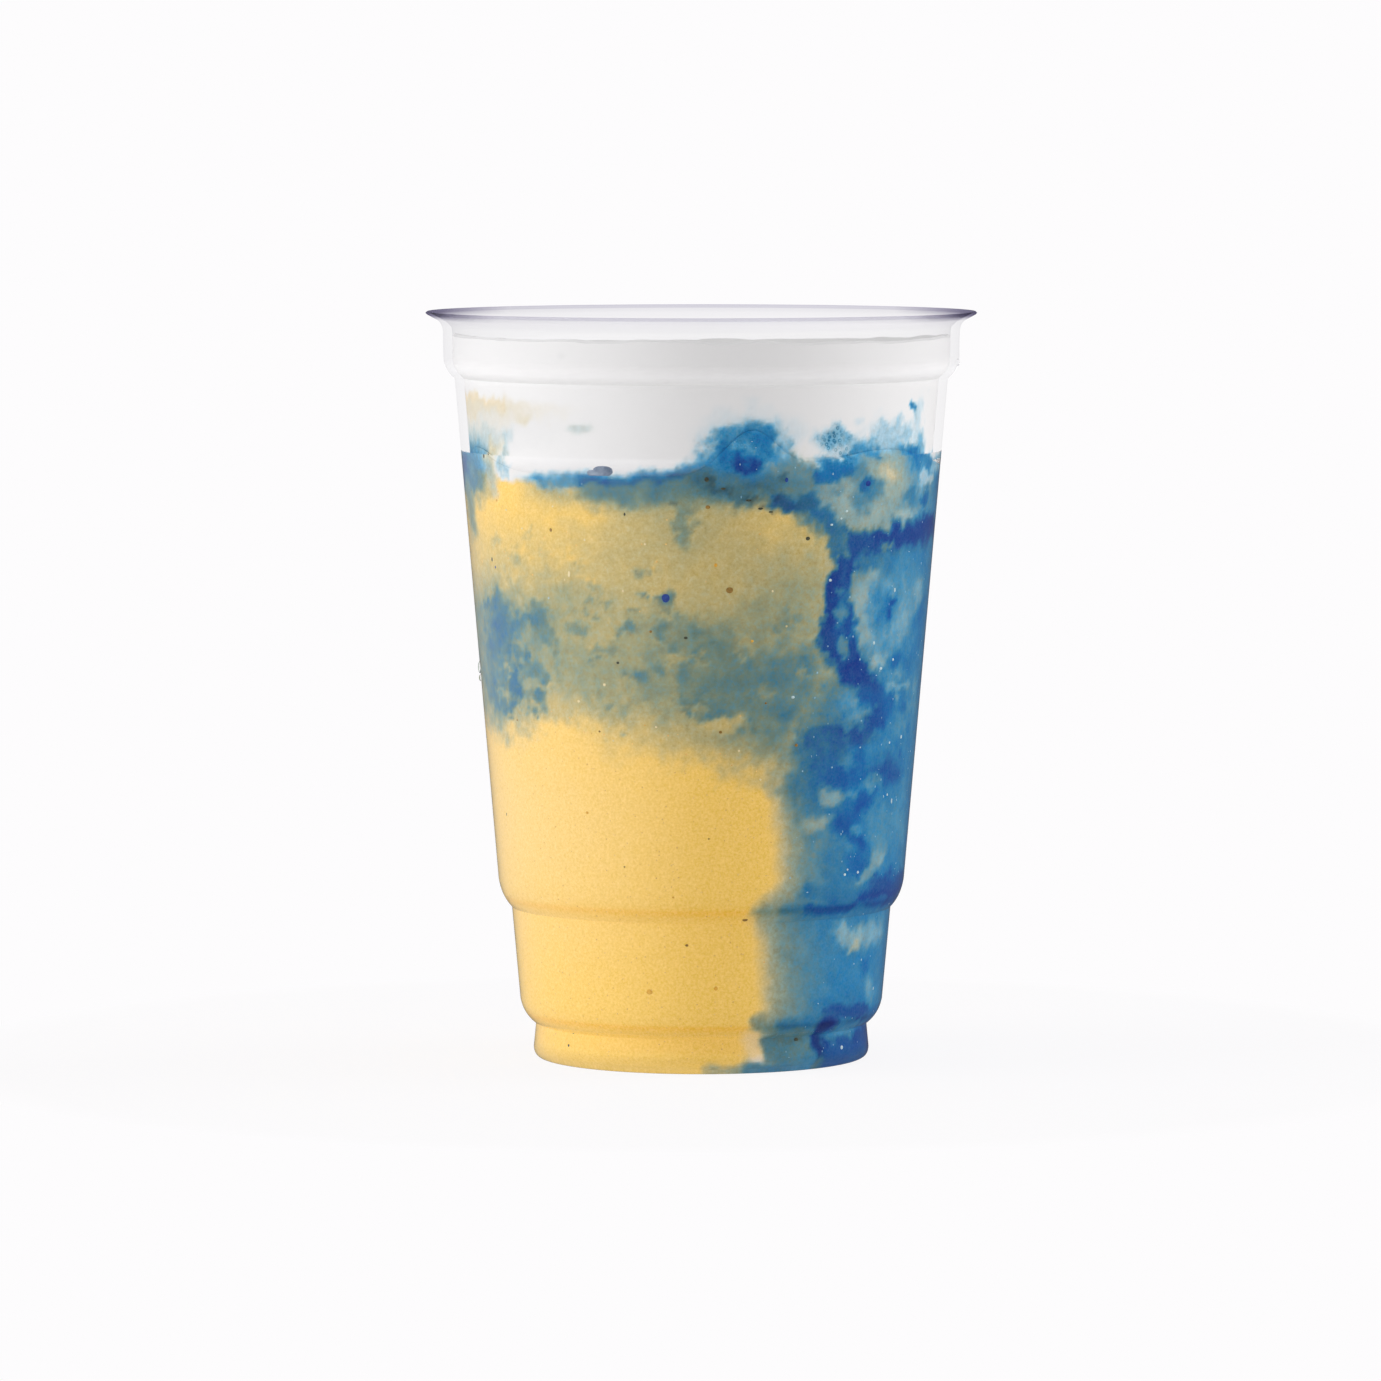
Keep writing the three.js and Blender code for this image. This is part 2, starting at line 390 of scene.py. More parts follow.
def cream_floor(x, y):
    """Height of the cream's lower face at a place in plan."""
    return cream_floor_level + bulges_at(cream_bulges, x, y)


def mango_top(x, y):
    """Height of the mango's top, which falls away to the right."""
    start, end, depth = mango_fall
    return mango_level - depth * eased(x, start, end) + bulges_at(mango_dips, x, y)


def blue_edge(y, z):
    """How far right of the axis the blue begins, at a depth and a height."""
    def edge(places):
        x = np.full(z.shape, float(places[0][1]))
        for (low, start), (high, end) in zip(places, places[1:]):
            x = np.where(z > low, start + (end - start) * eased(z, low, high), x)
        return x
    towards_back = eased(y, -upper_wall_bottom[0], upper_wall_bottom[0])
    return edge(edge_at_front) * (1 - towards_back) + edge(edge_at_back) * towards_back


def all_that_it_holds(name, inset):
    """What the cup holds as one solid: up the wall to the cream's level, and in over its top."""
    side = inner_wall(inset)
    edge = side[-1][0]
    side = [point for point in side[:-1] if point[1] < cream_level - cream_shoulder]
    radii = np.linspace(edge - cream_shoulder, 0.0, 40)
    rise = (radii / (edge - cream_shoulder)) ** 6
    top = list(zip(radii, cream_level - cream_dish * (1 - rise)))
    profile = side + [(edge, cream_level - cream_shoulder)] + top
    return turned(name, divided(profile, DRINK_ROW), DRINK_FACETS)


def block(face, across, along, order):
    """A block with one wavy face, set out on a grid: order says which axis each grid side runs on."""
    a, b = np.meshgrid(across, along, indexing="ij")
    wavy = np.stack([a, b, face(a, b)], axis=2).reshape(-1, 3)
    flat = wavy.copy()
    flat[:, 2] = -REACH
    corners = np.vstack([wavy, flat])[:, order] * MM
    rows, columns = len(across), len(along)
    index = np.arange(rows * columns).reshape(rows, columns)
    corner_of = [index[:-1, :-1], index[1:, :-1], index[1:, 1:], index[:-1, 1:]]
    square = np.stack(corner_of, axis=2).reshape(-1, 4)
    border = np.concatenate([index[:-1, 0], index[-1, :-1], index[:0:-1, -1], index[0, :0:-1]])
    beyond = np.roll(border, -1)
    under = rows * columns
    side = np.stack([border, border + under, beyond + under, beyond], axis=1)
    mesh = bpy.data.meshes.new("block")
    faces = np.vstack([square, square[:, ::-1] + under, side])
    mesh.from_pydata(corners.tolist(), [], faces.tolist())
    return stood("block", mesh)


def below(level):
    """A block with a wavy top, for what lies below a level."""
    grid = np.linspace(-REACH, REACH, 101)
    return block(level, grid, grid, [0, 1, 2])


def left_of(edge):
    """A block with a wavy right side, for what lies left of an edge."""
    heights = np.linspace(-5.0, 131.0, 137)
    return block(edge, np.linspace(-REACH, REACH, 41), heights, [2, 0, 1])


def cut(solid, tool, operation):
    """Cuts a solid with a tool, which is used up."""
    modifier = solid.modifiers.new("cut", "BOOLEAN")
    modifier.object = tool
    modifier.operation = operation
    modifier.solver = "MANIFOLD"
    depsgraph = bpy.context.evaluated_depsgraph_get()
    shape = bpy.data.meshes.new_from_object(solid.evaluated_get(depsgraph))
    shape.materials.clear()
    shape.set_sharp_from_angle(angle=math.radians(35))
    solid.modifiers.clear()
    solid.data = shape
    bpy.data.objects.remove(tool)
    return solid


def places_of(mesh):
    """Where a mesh's points are, in millimetres."""
    places = np.empty(len(mesh.vertices) * 3)
    mesh.vertices.foreach_get("co", places)
    return places.reshape(-1, 3) / MM


class Wall:
    """Where each point of a piece is on the unrolled wall: degrees from the front, and millimetres."""

    swirl_sizes = ((8.0, 1.1, 0.9), (3.0, 1.5, 1.3), (1.3, 0.9, 0.9), (0.6, 0.4, 0.4))
    upward_swirls = Vector((31.7, 47.3, 12.9))

    def __init__(self, mesh):
        places = places_of(mesh)
        swirls = np.array([self.swirl(Vector(place)) for place in places])
        self.turn = np.degrees(np.arctan2(places[:, 0], -places[:, 1]))
        self.height = places[:, 2] - COUNTED_FROM
        self.per_degree = np.radians(np.maximum(np.hypot(places[:, 0], places[:, 1]), 5.0))
        self.drift = swirls[:, 0]
        self.lift = swirls[:, 1]

    def swirl(self, place):
        """How far the stirring carried a place, in millimetres across and up."""
        across = 0.0
        up = 0.0
        for size, sideways, upwards in self.swirl_sizes:
            across += noise.noise(place / size) * sideways
            up += noise.noise(place / size + self.upward_swirls) * upwards
        return across, up

    def off(self, turn, height, ragged):
        """How far each point lies from a place, in millimetres across and up."""
        across = ((self.turn - turn + 180) % 360 - 180) * self.per_degree + self.drift * ragged
        return across, self.height + self.lift * ragged - height


class Dye:
    """How much of something there is at each point of the wall. Each stroke covers the last ones.
    Every stroke begins with the amount, and after its place and size come how soft its edge is,
    how far the stirring draws it out, and how strongly it covers."""

    edge_ragged = 0.45
    bleed_ragged = 0.9
    bleed_side = 7

    def __init__(self, wall, amount):
        self.wall = wall
        self.amount = np.full(len(wall.turn), amount)

    def cover(self, amount, share):
        """Moves the amount towards a new one, by a share at each point."""
        self.amount += (amount - self.amount) * share

    def blot(self, amount, turn, height, across, up, soft=1.4, ragged=1.0, lean=0.0, strength=1.0):
        """A spot with half its width and height in millimetres; lean slides its top to the right."""
        u, v = self.wall.off(turn, height, ragged)
        far = np.hypot((u - lean * v) / across, v / up)
        self.cover(amount, strength * (1 - eased(far, 1 - soft / 2, 1 + soft / 2)))

    def wash(self, amount, turn, height, across, up, strength=1.0):
        """A spot that fades all the way from its middle to twice its width and height."""
        self.blot(amount, turn, height, across, up, 2.0, 1.6, 0.0, strength)

    def streak(self, amount, places, width, soft=1.2, ragged=1.0, strength=1.0):
        """A line through places, with half its width in millimetres."""
        nearest = np.full(len(self.amount), 1e9)
        for (turn, height), (next_turn, next_height) in zip(places, places[1:]):
            u, v = self.wall.off(turn, height, ragged)
            run = (next_turn - turn) * self.wall.per_degree
            rise = next_height - height
            share = np.clip((u * run + v * rise) / (run * run + rise * rise), 0.0, 1.0)
            nearest = np.minimum(nearest, np.hypot(u - share * run, v - share * rise))
        far = nearest / width
        self.cover(amount, strength * (1 - eased(far, 1 - soft / 2, 1 + soft / 2)))

    def blots(self, *rows):
        """One blot after another."""
        for row in rows:
            self.blot(*row)

    def washes(self, *rows):
        """One wash after another."""
        for row in rows:
            self.wash(*row)

    def streaks(self, *rows):
        """One streak after another."""
        for row in rows:
            self.streak(*row)

    def above(self, amount, line, soft, higher=0.0):
        """Everything above a line of turns and heights; soft is the depth of its edge."""
        u, v = self.wall.off(0.0, 0.0, self.edge_ragged)
        level = np.interp(u / self.wall.per_degree, *zip(*line), period=360) + higher
        self.cover(amount, eased(v - level, -soft / 2, soft / 2))

    def under(self, amount, line, depth, start, end, strength=1.0):
        """A bleed that hangs below a line between two turns, and fades out downwards."""
        u, v = self.wall.off(0.0, 0.0, self.bleed_ragged)
        turn = u / self.wall.per_degree
        level = np.interp(turn, *zip(*line), period=360)
        fade = self.bleed_side
        sides = eased(turn, start - fade, start + fade) * (1 - eased(turn, end - fade, end + fade))
        self.cover(amount, strength * sides * eased(v - level, -depth, 0.0))

    def between(self, amount, front, back, soft, past=0.0):
        """Everything right of a front line and short of a back line, both of heights and turns;
        past is how many degrees further in it begins."""
        u, v = self.wall.off(0.0, 0.0, self.edge_ragged)
        turn = (u / self.wall.per_degree) % 360
        turn = np.where(turn > 270, turn - 360, turn)
        inside = (turn - past - np.interp(v, *zip(*front))) * self.wall.per_degree
        short = (np.interp(v, *zip(*back)) - past / 2 - turn) * self.wall.per_degree
        self.cover(amount, eased(inside, -soft / 2, soft / 2) * eased(short, -soft / 2, soft / 2))

    def ring(self, amount, height, above, below):
        """A line right round at a height, which fades out a distance above it and below it."""
        rise = self.wall.height - height
        self.cover(amount, np.where(rise > 0, 1 - eased(rise, 0.0, above), eased(rise, -below, 0.0)))


# The cream's lower edge, as turns and heights, and both sides of the blue column, as heights and turns.
cream_edge = [
    (-180, 103.6), (-165, 103.2), (-150, 105.2), (-136, 106.2), (-120, 104.4), (-105, 102.6), (-90, 103.6),
    (-78, 103.8), (-66, 101.6), (-60, 101.6), (-56.5, 100.8), (-50, 100.4), (-44, 101.2), (-38, 100.9),
    (-32, 101.5), (-29, 102.1), (-22, 101.6), (-16, 101.8), (-10, 102.3), (-5, 103), (0, 103.6),
    (10, 103), (16, 103.2), (20, 104.6), (24, 103.8), (27, 103.1), (30, 101.9), (34, 101.4), (38, 102.4),
    (41, 105), (46, 105.3), (50, 105.8), (56, 105.9), (60, 105.5), (64, 105.6), (69, 105.6), (72, 104.4),
    (76, 103.2), (90, 104.2), (110, 105.6), (124, 106), (140, 106.6), (152, 106.4), (162, 104.8),
]
mango_edge = [
    (0, 13), (3, 18), (6, 19), (7.6, 17), (10, 20), (15, 20), (20, 19), (25, 16), (27, 15), (29, 18),
    (33, 22), (38, 22), (45, 20), (50, 19), (56, 22), (62, 27), (70, 32), (80, 33.5), (88, 34), (92, 35),
    (95, 30), (98, 24), (102, 20), (110, 20),
]
back_edge = [
    (0, 154), (7, 154), (22, 152), (30, 158), (45, 163), (60, 156), (72, 152), (86, 155), (100, 160),
]


def clots(blue, seed, count, middle, reach, sizes, amounts):
    """Small uneven clots, strewn around a middle, which leave the half-mixed part mottled."""
    chance = random.Random(seed)
    for _ in range(count):
        turn = middle[0] + reach[0] * chance.uniform(-1, 1)
        height = middle[1] + reach[1] * chance.uniform(-1, 1)
        size = chance.uniform(*sizes)
        blue.blot(chance.uniform(*amounts), turn, height, size * 1.3, size * 0.8, 1.6, 1.6, strength=0.6)


def marble_mango(blue, milk, grain):
    """The yellow side: an olive haze on its upper half, and a mottled blue band across it."""
    # Broad washes for the haze and the band.
    blue.washes((0.26, 2, 58, 14, 4), (0.44, 20, 57, 8, 5), (0.3, -66, 59, 8, 3))
    blue.streaks(
        (0.18, [(-80, 82), (-44, 84), (0, 86), (34, 88)], 8, 2, 1.4),
        (0.46, [(-84, 71), (-50, 73), (-20, 73), (6, 71), (34, 69)], 8, 2, 1.6),
    )
    blue.washes(
        (0.24, -16, 88, 9, 6), (0.3, -26, 74, 6, 4), (0.38, -11, 73, 4, 4), (0.54, -1, 73, 5, 4),
        (0.56, -66, 72, 10, 7), (0.54, -65, 63, 11, 4), (0.42, -32, 65, 8, 4), (0.42, -16, 64, 7, 3.5),
        (0.56, 10, 65, 11, 4), (0.4, 24, 79, 10, 8), (0.62, 22, 67, 9, 5), (0.58, 24, 61, 8, 5),
        (0.36, 0, 92, 7, 5, 0.7),
    )
    # Milk pales the blue band at the far left; the wide, faint second wash over the lower left of the mango
    # is a painted sheen where the left light falls.
    milk.washes((0.18, -66, 69, 12, 10), (0.13, -62, 42, 24, 18))
    grain.washes(
        (1, -66, 70, 16, 10), (0.55, -20, 72, 22, 12), (0.45, 14, 70, 16, 12), (0.35, -30, 86, 26, 7),
        (0.3, 10, 90, 20, 8),
    )

    # Clots along the band, from the far left to the right, and thin ones above it.
    clots(blue, 5, 60, (-60, 69.5), (17, 9), (0.9, 2.2), (0.20, 0.92))
    clots(blue, 6, 60, (-24, 72), (20, 10), (0.6, 1.5), (0.22, 0.66))
    clots(blue, 7, 50, (10, 70), (18, 11), (0.6, 1.5), (0.30, 0.72))
    clots(blue, 8, 26, (-34, 86), (26, 5), (0.6, 1.3), (0.04, 0.36))

    # Larger blotches: thick ones at the far left, and then on to the right.
    blue.blots(
        (0.68, -64, 79.1, 2.4, 1.8), (0.77, -63, 74.8, 3.8, 2.6, 1.5, 1.7),
        (0.73, -70, 72, 3.4, 2.4, 1.6, 1.5), (0.76, -58, 70.8, 2.3, 1.2, 1.5, 1.7),
        (0.72, -51.3, 70.3, 1.6, 1.1, 1.4, 1.5), (0.66, -46, 76.8, 2, 2.2, 1.3), (0.6, -43.4, 73, 2.6, 1.3),
        (0.62, -68, 68, 3.4, 1.6), (0.36, -62, 67.6, 2, 0.8), (0.38, -51, 66, 1.6, 1.2),
        (0.8, -56.3, 64.3, 2.2, 1.7, 1.4, 1.7), (0.74, -60, 61, 3.1, 1, 1.5, 1.6), (0.66, -69, 62.4, 2.6, 1),
        (0.38, -63, 63.2, 1.6, 0.7, 1.3), (0.64, -44.8, 67, 1.3, 1, 1.2), (0.62, -45, 62.7, 1.1, 1, 1.2),
        (0.56, -60.6, 58.4, 0.8, 0.6, 1), (0.58, -48.5, 59.7, 0.6, 0.9, 1), (0.6, -76, 65.4, 2.8, 3.6),
        (0.24, -40, 61, 3, 2, 1.6), (0.54, -32.5, 75.5, 1.7, 0.9, 1.2), (0.46, -29.2, 79.6, 1.2, 0.5, 1),
        (0.46, -24.7, 80.2, 1, 0.5, 1), (0.42, -36, 78.4, 1.8, 0.7, 1), (0.38, -52.7, 86.8, 1.1, 1),
        (0.28, -62, 89.5, 1.6, 1), (0.3, -44, 85, 2.4, 1, 1.6), (0.44, -15.5, 85.4, 0.9, 1),
        (0.52, -23.5, 72.1, 2, 1.4, 1.3), (0.64, -16.6, 67.1, 1.5, 1.7, 1.2),
        (0.6, -11.7, 68.5, 1.1, 1.4, 1.2), (0.56, -24.3, 62.8, 0.9, 0.7, 1.2),
        (0.6, -9.7, 76.2, 1.2, 1.5, 1.2), (0.54, -13.5, 80.8, 0.9, 0.4, 1.2),
        (0.6, -7.2, 72.5, 0.9, 0.8, 1.2), (0.62, -4.5, 66.9, 1.2, 1.2, 1.2), (0.36, -20, 57.6, 0.7, 0.5),
        (0.58, 4, 66.4, 3.2, 1.2), (0.6, 13, 66.6, 3, 1.3), (0.58, 5, 63.6, 2.6, 0.9),
        (0.56, 14, 61.6, 2.6, 1), (0.66, 21, 68, 1.8, 3), (0.64, 23, 61.4, 2.4, 1.6),
        (0.66, -9, 81, 1.1, 1.4, 1.6), (0.5, -5, 78.6, 1.2, 0.6, 1), (0.22, 5, 59.4, 3, 1, 1.6),
    )


def marble_under_cream(blue, milk, grain, shade):
    """Where the blue has crept in under the cream, and the stains at the cream's left end."""
    # The blue line under the cream, with its drips and the small dark gaps behind it.
    grain.under(0.55, cream_edge, 9.0, -46, 40)
    blue.under(0.50, cream_edge, 7.0, -46, -6)
    blue.under(0.54, cream_edge, 11.0, -24, 34)
    blue.under(0.68, cream_edge, 6.0, -24, 26)
    blue.under(0.80, cream_edge, 2.4, -46, 22)
    blue.blots((0.68, 11, 99.6, 8, 3, 1.6), (0.62, 22, 100.4, 4, 3), (0.74, 12, 101.2, 7, 1.6))
    blue.streaks(
        (0.66, [(-28, 98.8), (-16, 98.6), (-8, 98.8), (-1, 98.2)], 2, 1.8, 0.8, 0.8),
        (0.66, [(24, 95.2), (30, 92.8), (35, 90.4)], 1.6, 1.8, 1.2, 0.8),
        (0.84, [(-31, 100.6), (-28, 101.2), (-25, 101), (-21, 100.4)], 0.9, 1.2, 0.6),
        (0.82, [(-21, 100.6), (-16, 101), (-10, 101.4), (-5, 102.3)], 0.8, 1.4, 0.6),
        (0.78, [(-46, 100.9), (-43, 101), (-40, 100.4)], 0.6, 1.4, 0.6),
        (0.6, [(-41, 100.3), (-37, 100), (-33, 100.3)], 0.9, 1.2, 0.6),
        (0.5, [(-5, 96), (-3.5, 92.6), (-4.5, 90.6)], 1.3, 1.4),
        (0.7, [(0, 100), (5, 99), (10, 97.6)], 1.3, 1.4), (0.84, [(18, 97.6), (21, 97), (27, 96.6)], 1.5),
        (0.8, [(27, 96.6), (30, 94.6), (34, 92)], 1.6),
    )
    milk.streaks((0.6, [(-46, 100.6), (-40, 100.1), (-36, 99.9), (-32, 100.4)], 1.1, 1.4, 0.6))
    shade.streaks(
        (0.2, [(-2, 100.2), (3, 99.6), (9, 97.6), (12, 97)], 0.8, 1.4),
        (0.24, [(18, 97.8), (21, 96.8), (27, 96.6)], 0.8, 1.4),
    )
    shade.blots(
        (0.6, 1.2, 101, 0.7, 0.9, 1), (0.5, 1.5, 99.6, 1.2, 0.7, 1), (0.55, 5, 99.2, 1, 0.5, 1),
        (0.6, 11.5, 97.2, 1.3, 0.5, 1), (0.62, 14.5, 95.8, 0.9, 0.5, 1), (0.5, 17, 95.2, 0.8, 0.4, 1),
        (0.55, 18.4, 97.8, 0.7, 0.7, 1), (0.45, 20.5, 101.2, 0.6, 0.8, 1), (0.4, -7, 97, 0.5, 0.5, 1),
        (0.3, 13, 99.4, 2.4, 0.8),
    )

    # The cream is clean white above its edge, and milky from just below it.
    milk.above(1.0, cream_edge, 0.9, -0.8)
    blue.above(0.0, cream_edge, 1.7)
    shade.above(0.0, cream_edge, 0.8)
    grain.above(0.05, cream_edge, 1.4, 0.2)

    # Yellow and blue stains on the cream, most of them at the far left.
    milk.blots((0.62, -76, 112, 22, 2, 1.2), (0.82, -63, 110.4, 6, 1.1, 1.6))
    milk.streaks((0.54, [(-90, 113.4), (-76, 113.6), (-64, 113.4), (-56, 112.6)], 0.6, 1.4, 0.8))
    milk.blots(
        (0.54, -47.5, 110.4, 1.9, 0.8, 1.4, 0.7), (0.84, -70, 107.4, 13, 2.2, 1.3),
        (0.7, -58, 105.2, 2, 1.6, 1.6), (0.78, -76, 105.8, 9, 3.6),
    )
    milk.streaks((0.4, [(-61, 99.8), (-63, 104.6)], 1.8, 1.4))
    milk.blots(
        (1, -48, 105.6, 5.4, 4.6, 0.5, 0.6), (0.36, -82, 101, 8, 4.2, 1),
        (0.84, -31, 109.1, 2.3, 0.7, 1.2, 0.3),
    )
    blue.blots(
        (0.07, -76, 112, 22, 2, 1.2), (0.1, -47.5, 110.4, 1.9, 0.8, 1.4, 0.7),
        (0.15, -70, 107.4, 13, 2.2, 1.3), (0.32, -76, 105.4, 8, 2.4), (0.36, -67, 104.4, 4, 1.6),
    )
    blue.streaks(
        (0.14, [(-61, 99.8), (-63, 104.6)], 1.6, 1.4),
        (0.3, [(-55, 107.6), (-57, 105), (-57, 102.6), (-55, 101.4)], 0.9, 1.6),
    )
    blue.blots(
        (0, -48, 105.6, 5.4, 4.6, 0.5, 0.6), (0.9, -83, 100.8, 12, 4.6, 1.2), (0.62, -74, 101, 2.2, 2),
    )
    blue.streaks((0.54, [(-80, 98), (-78, 95), (-79, 92.2)], 2.4, 1.8))
    blue.blots((0.14, -31, 109.1, 2.3, 0.7, 1.2, 0.3))
    shade.blots(
        (0.09, -74, 110, 24, 4.4, 1.2), (0.12, -31, 109.1, 2, 0.5, 1.2, 0.3),
        (0.06, -33, 121.4, 0.7, 0.5, 1.2, 0.3),
    )


def marble_cream_front(blue, milk, grain, foam):
    """The blue clouds, drips and foam that stand up into the cream at the front and the right."""
    blue.blots(
        (0.2, 12, 108, 7, 4), (0.58, 11.5, 106, 6.2, 4, 0.8), (0.7, 4.5, 103.8, 3.6, 1.9, 1.2),
        (0.48, 5.5, 107.2, 2, 1.2), (0.62, 6, 108, 1.6, 1.6, 1.2), (0.76, 14, 107.8, 3.2, 1.6),
        (0.82, 17, 106.2, 2, 2.4), (0.88, 5, 105.4, 1.2, 2, 1.2), (0.58, 8.5, 105.6, 1.2, 1.2, 1.2),
        (0.92, 11, 104, 3.2, 1.2, 1.2),
    )
    blue.streaks((1, [(9, 103), (12, 102.7), (15, 103.4)], 1))
    blue.blots(
        (0.26, 19.6, 108.2, 1, 2.6), (0.58, 22, 102.6, 3.4, 1.6), (0.54, 33.5, 107.6, 3.4, 2, 1.2),
        (0.62, 37.5, 107, 1.1, 2, 1.2), (0.26, 36, 104.8, 2.2, 1.2, 1.2), (0.46, 31, 103.2, 1.8, 1, 1.2),
        (0.84, 34.5, 102.5, 2.2, 1, 1.2), (0.8, 38.5, 103.2, 1.4, 1.3, 1.2),
    )
    blue.streaks(
        (0.86, [(29, 101.2), (33, 101.3), (38, 101.6)], 0.8),
        (0.32, [(40, 106.4), (48, 107), (60, 106.8)], 2.2, 2, 1.6),
    )
    blue.blots((0.44, 45, 106.6, 2, 1, 1.8, 1.6))
    blue.streaks(
        (0.3, [(50, 108.8), (57, 109.6)], 0.9, 1.6), (0.66, [(40, 105), (44, 105.2), (48, 105.4)], 0.8, 1.4),
        (0.84, [(61.8, 112.9), (63.4, 112.3), (64.8, 111.4)], 0.6, 1.2, 0.4),
        (0.44, [(64.6, 111.6), (65.4, 109.8)], 0.7, 1.4, 0.4),
        (0.2, [(67, 112), (66, 109), (67, 107)], 1.6, 2, 1.6),
    )
    blue.blots((0.46, 70, 106, 1.8, 1.8), (0.88, 65, 104.2, 3, 1.5, 1))
    blue.streaks(
        (0.74, [(66, 103.4), (69, 102.6), (72, 101.8)], 1.2),
        (0.28, [(67, 101), (72, 100.2), (75, 99.6)], 1.1),
        (0.36, [(74, 102.4), (84, 102.6), (92, 103.2)], 1.4, 1.4),
    )
    milk.blots((1, 11, 105.4, 7.2, 4.6, 0.6))
    milk.streaks((0.45, [(9, 102.8), (15, 103.2)], 1))
    milk.blots(
        (0.35, 23, 102.4, 3.6, 1.8, 1.2), (1, 34, 105.8, 4.4, 4.2, 0.7), (0.95, 66, 104, 4.4, 2.4, 0.8),
    )
    milk.streaks((1, [(68, 101.2), (76, 102), (92, 103)], 2.2))
    grain.blots((0.85, 10, 105.6, 8, 4.4, 0.8))
    foam.blots(
        (0.18, 9, 106, 7, 4, 0.8), (0.8, 33.4, 107.6, 2.9, 1.8, 0.8), (0.7, 36.4, 104.4, 1.9, 1.3, 0.8),
    )


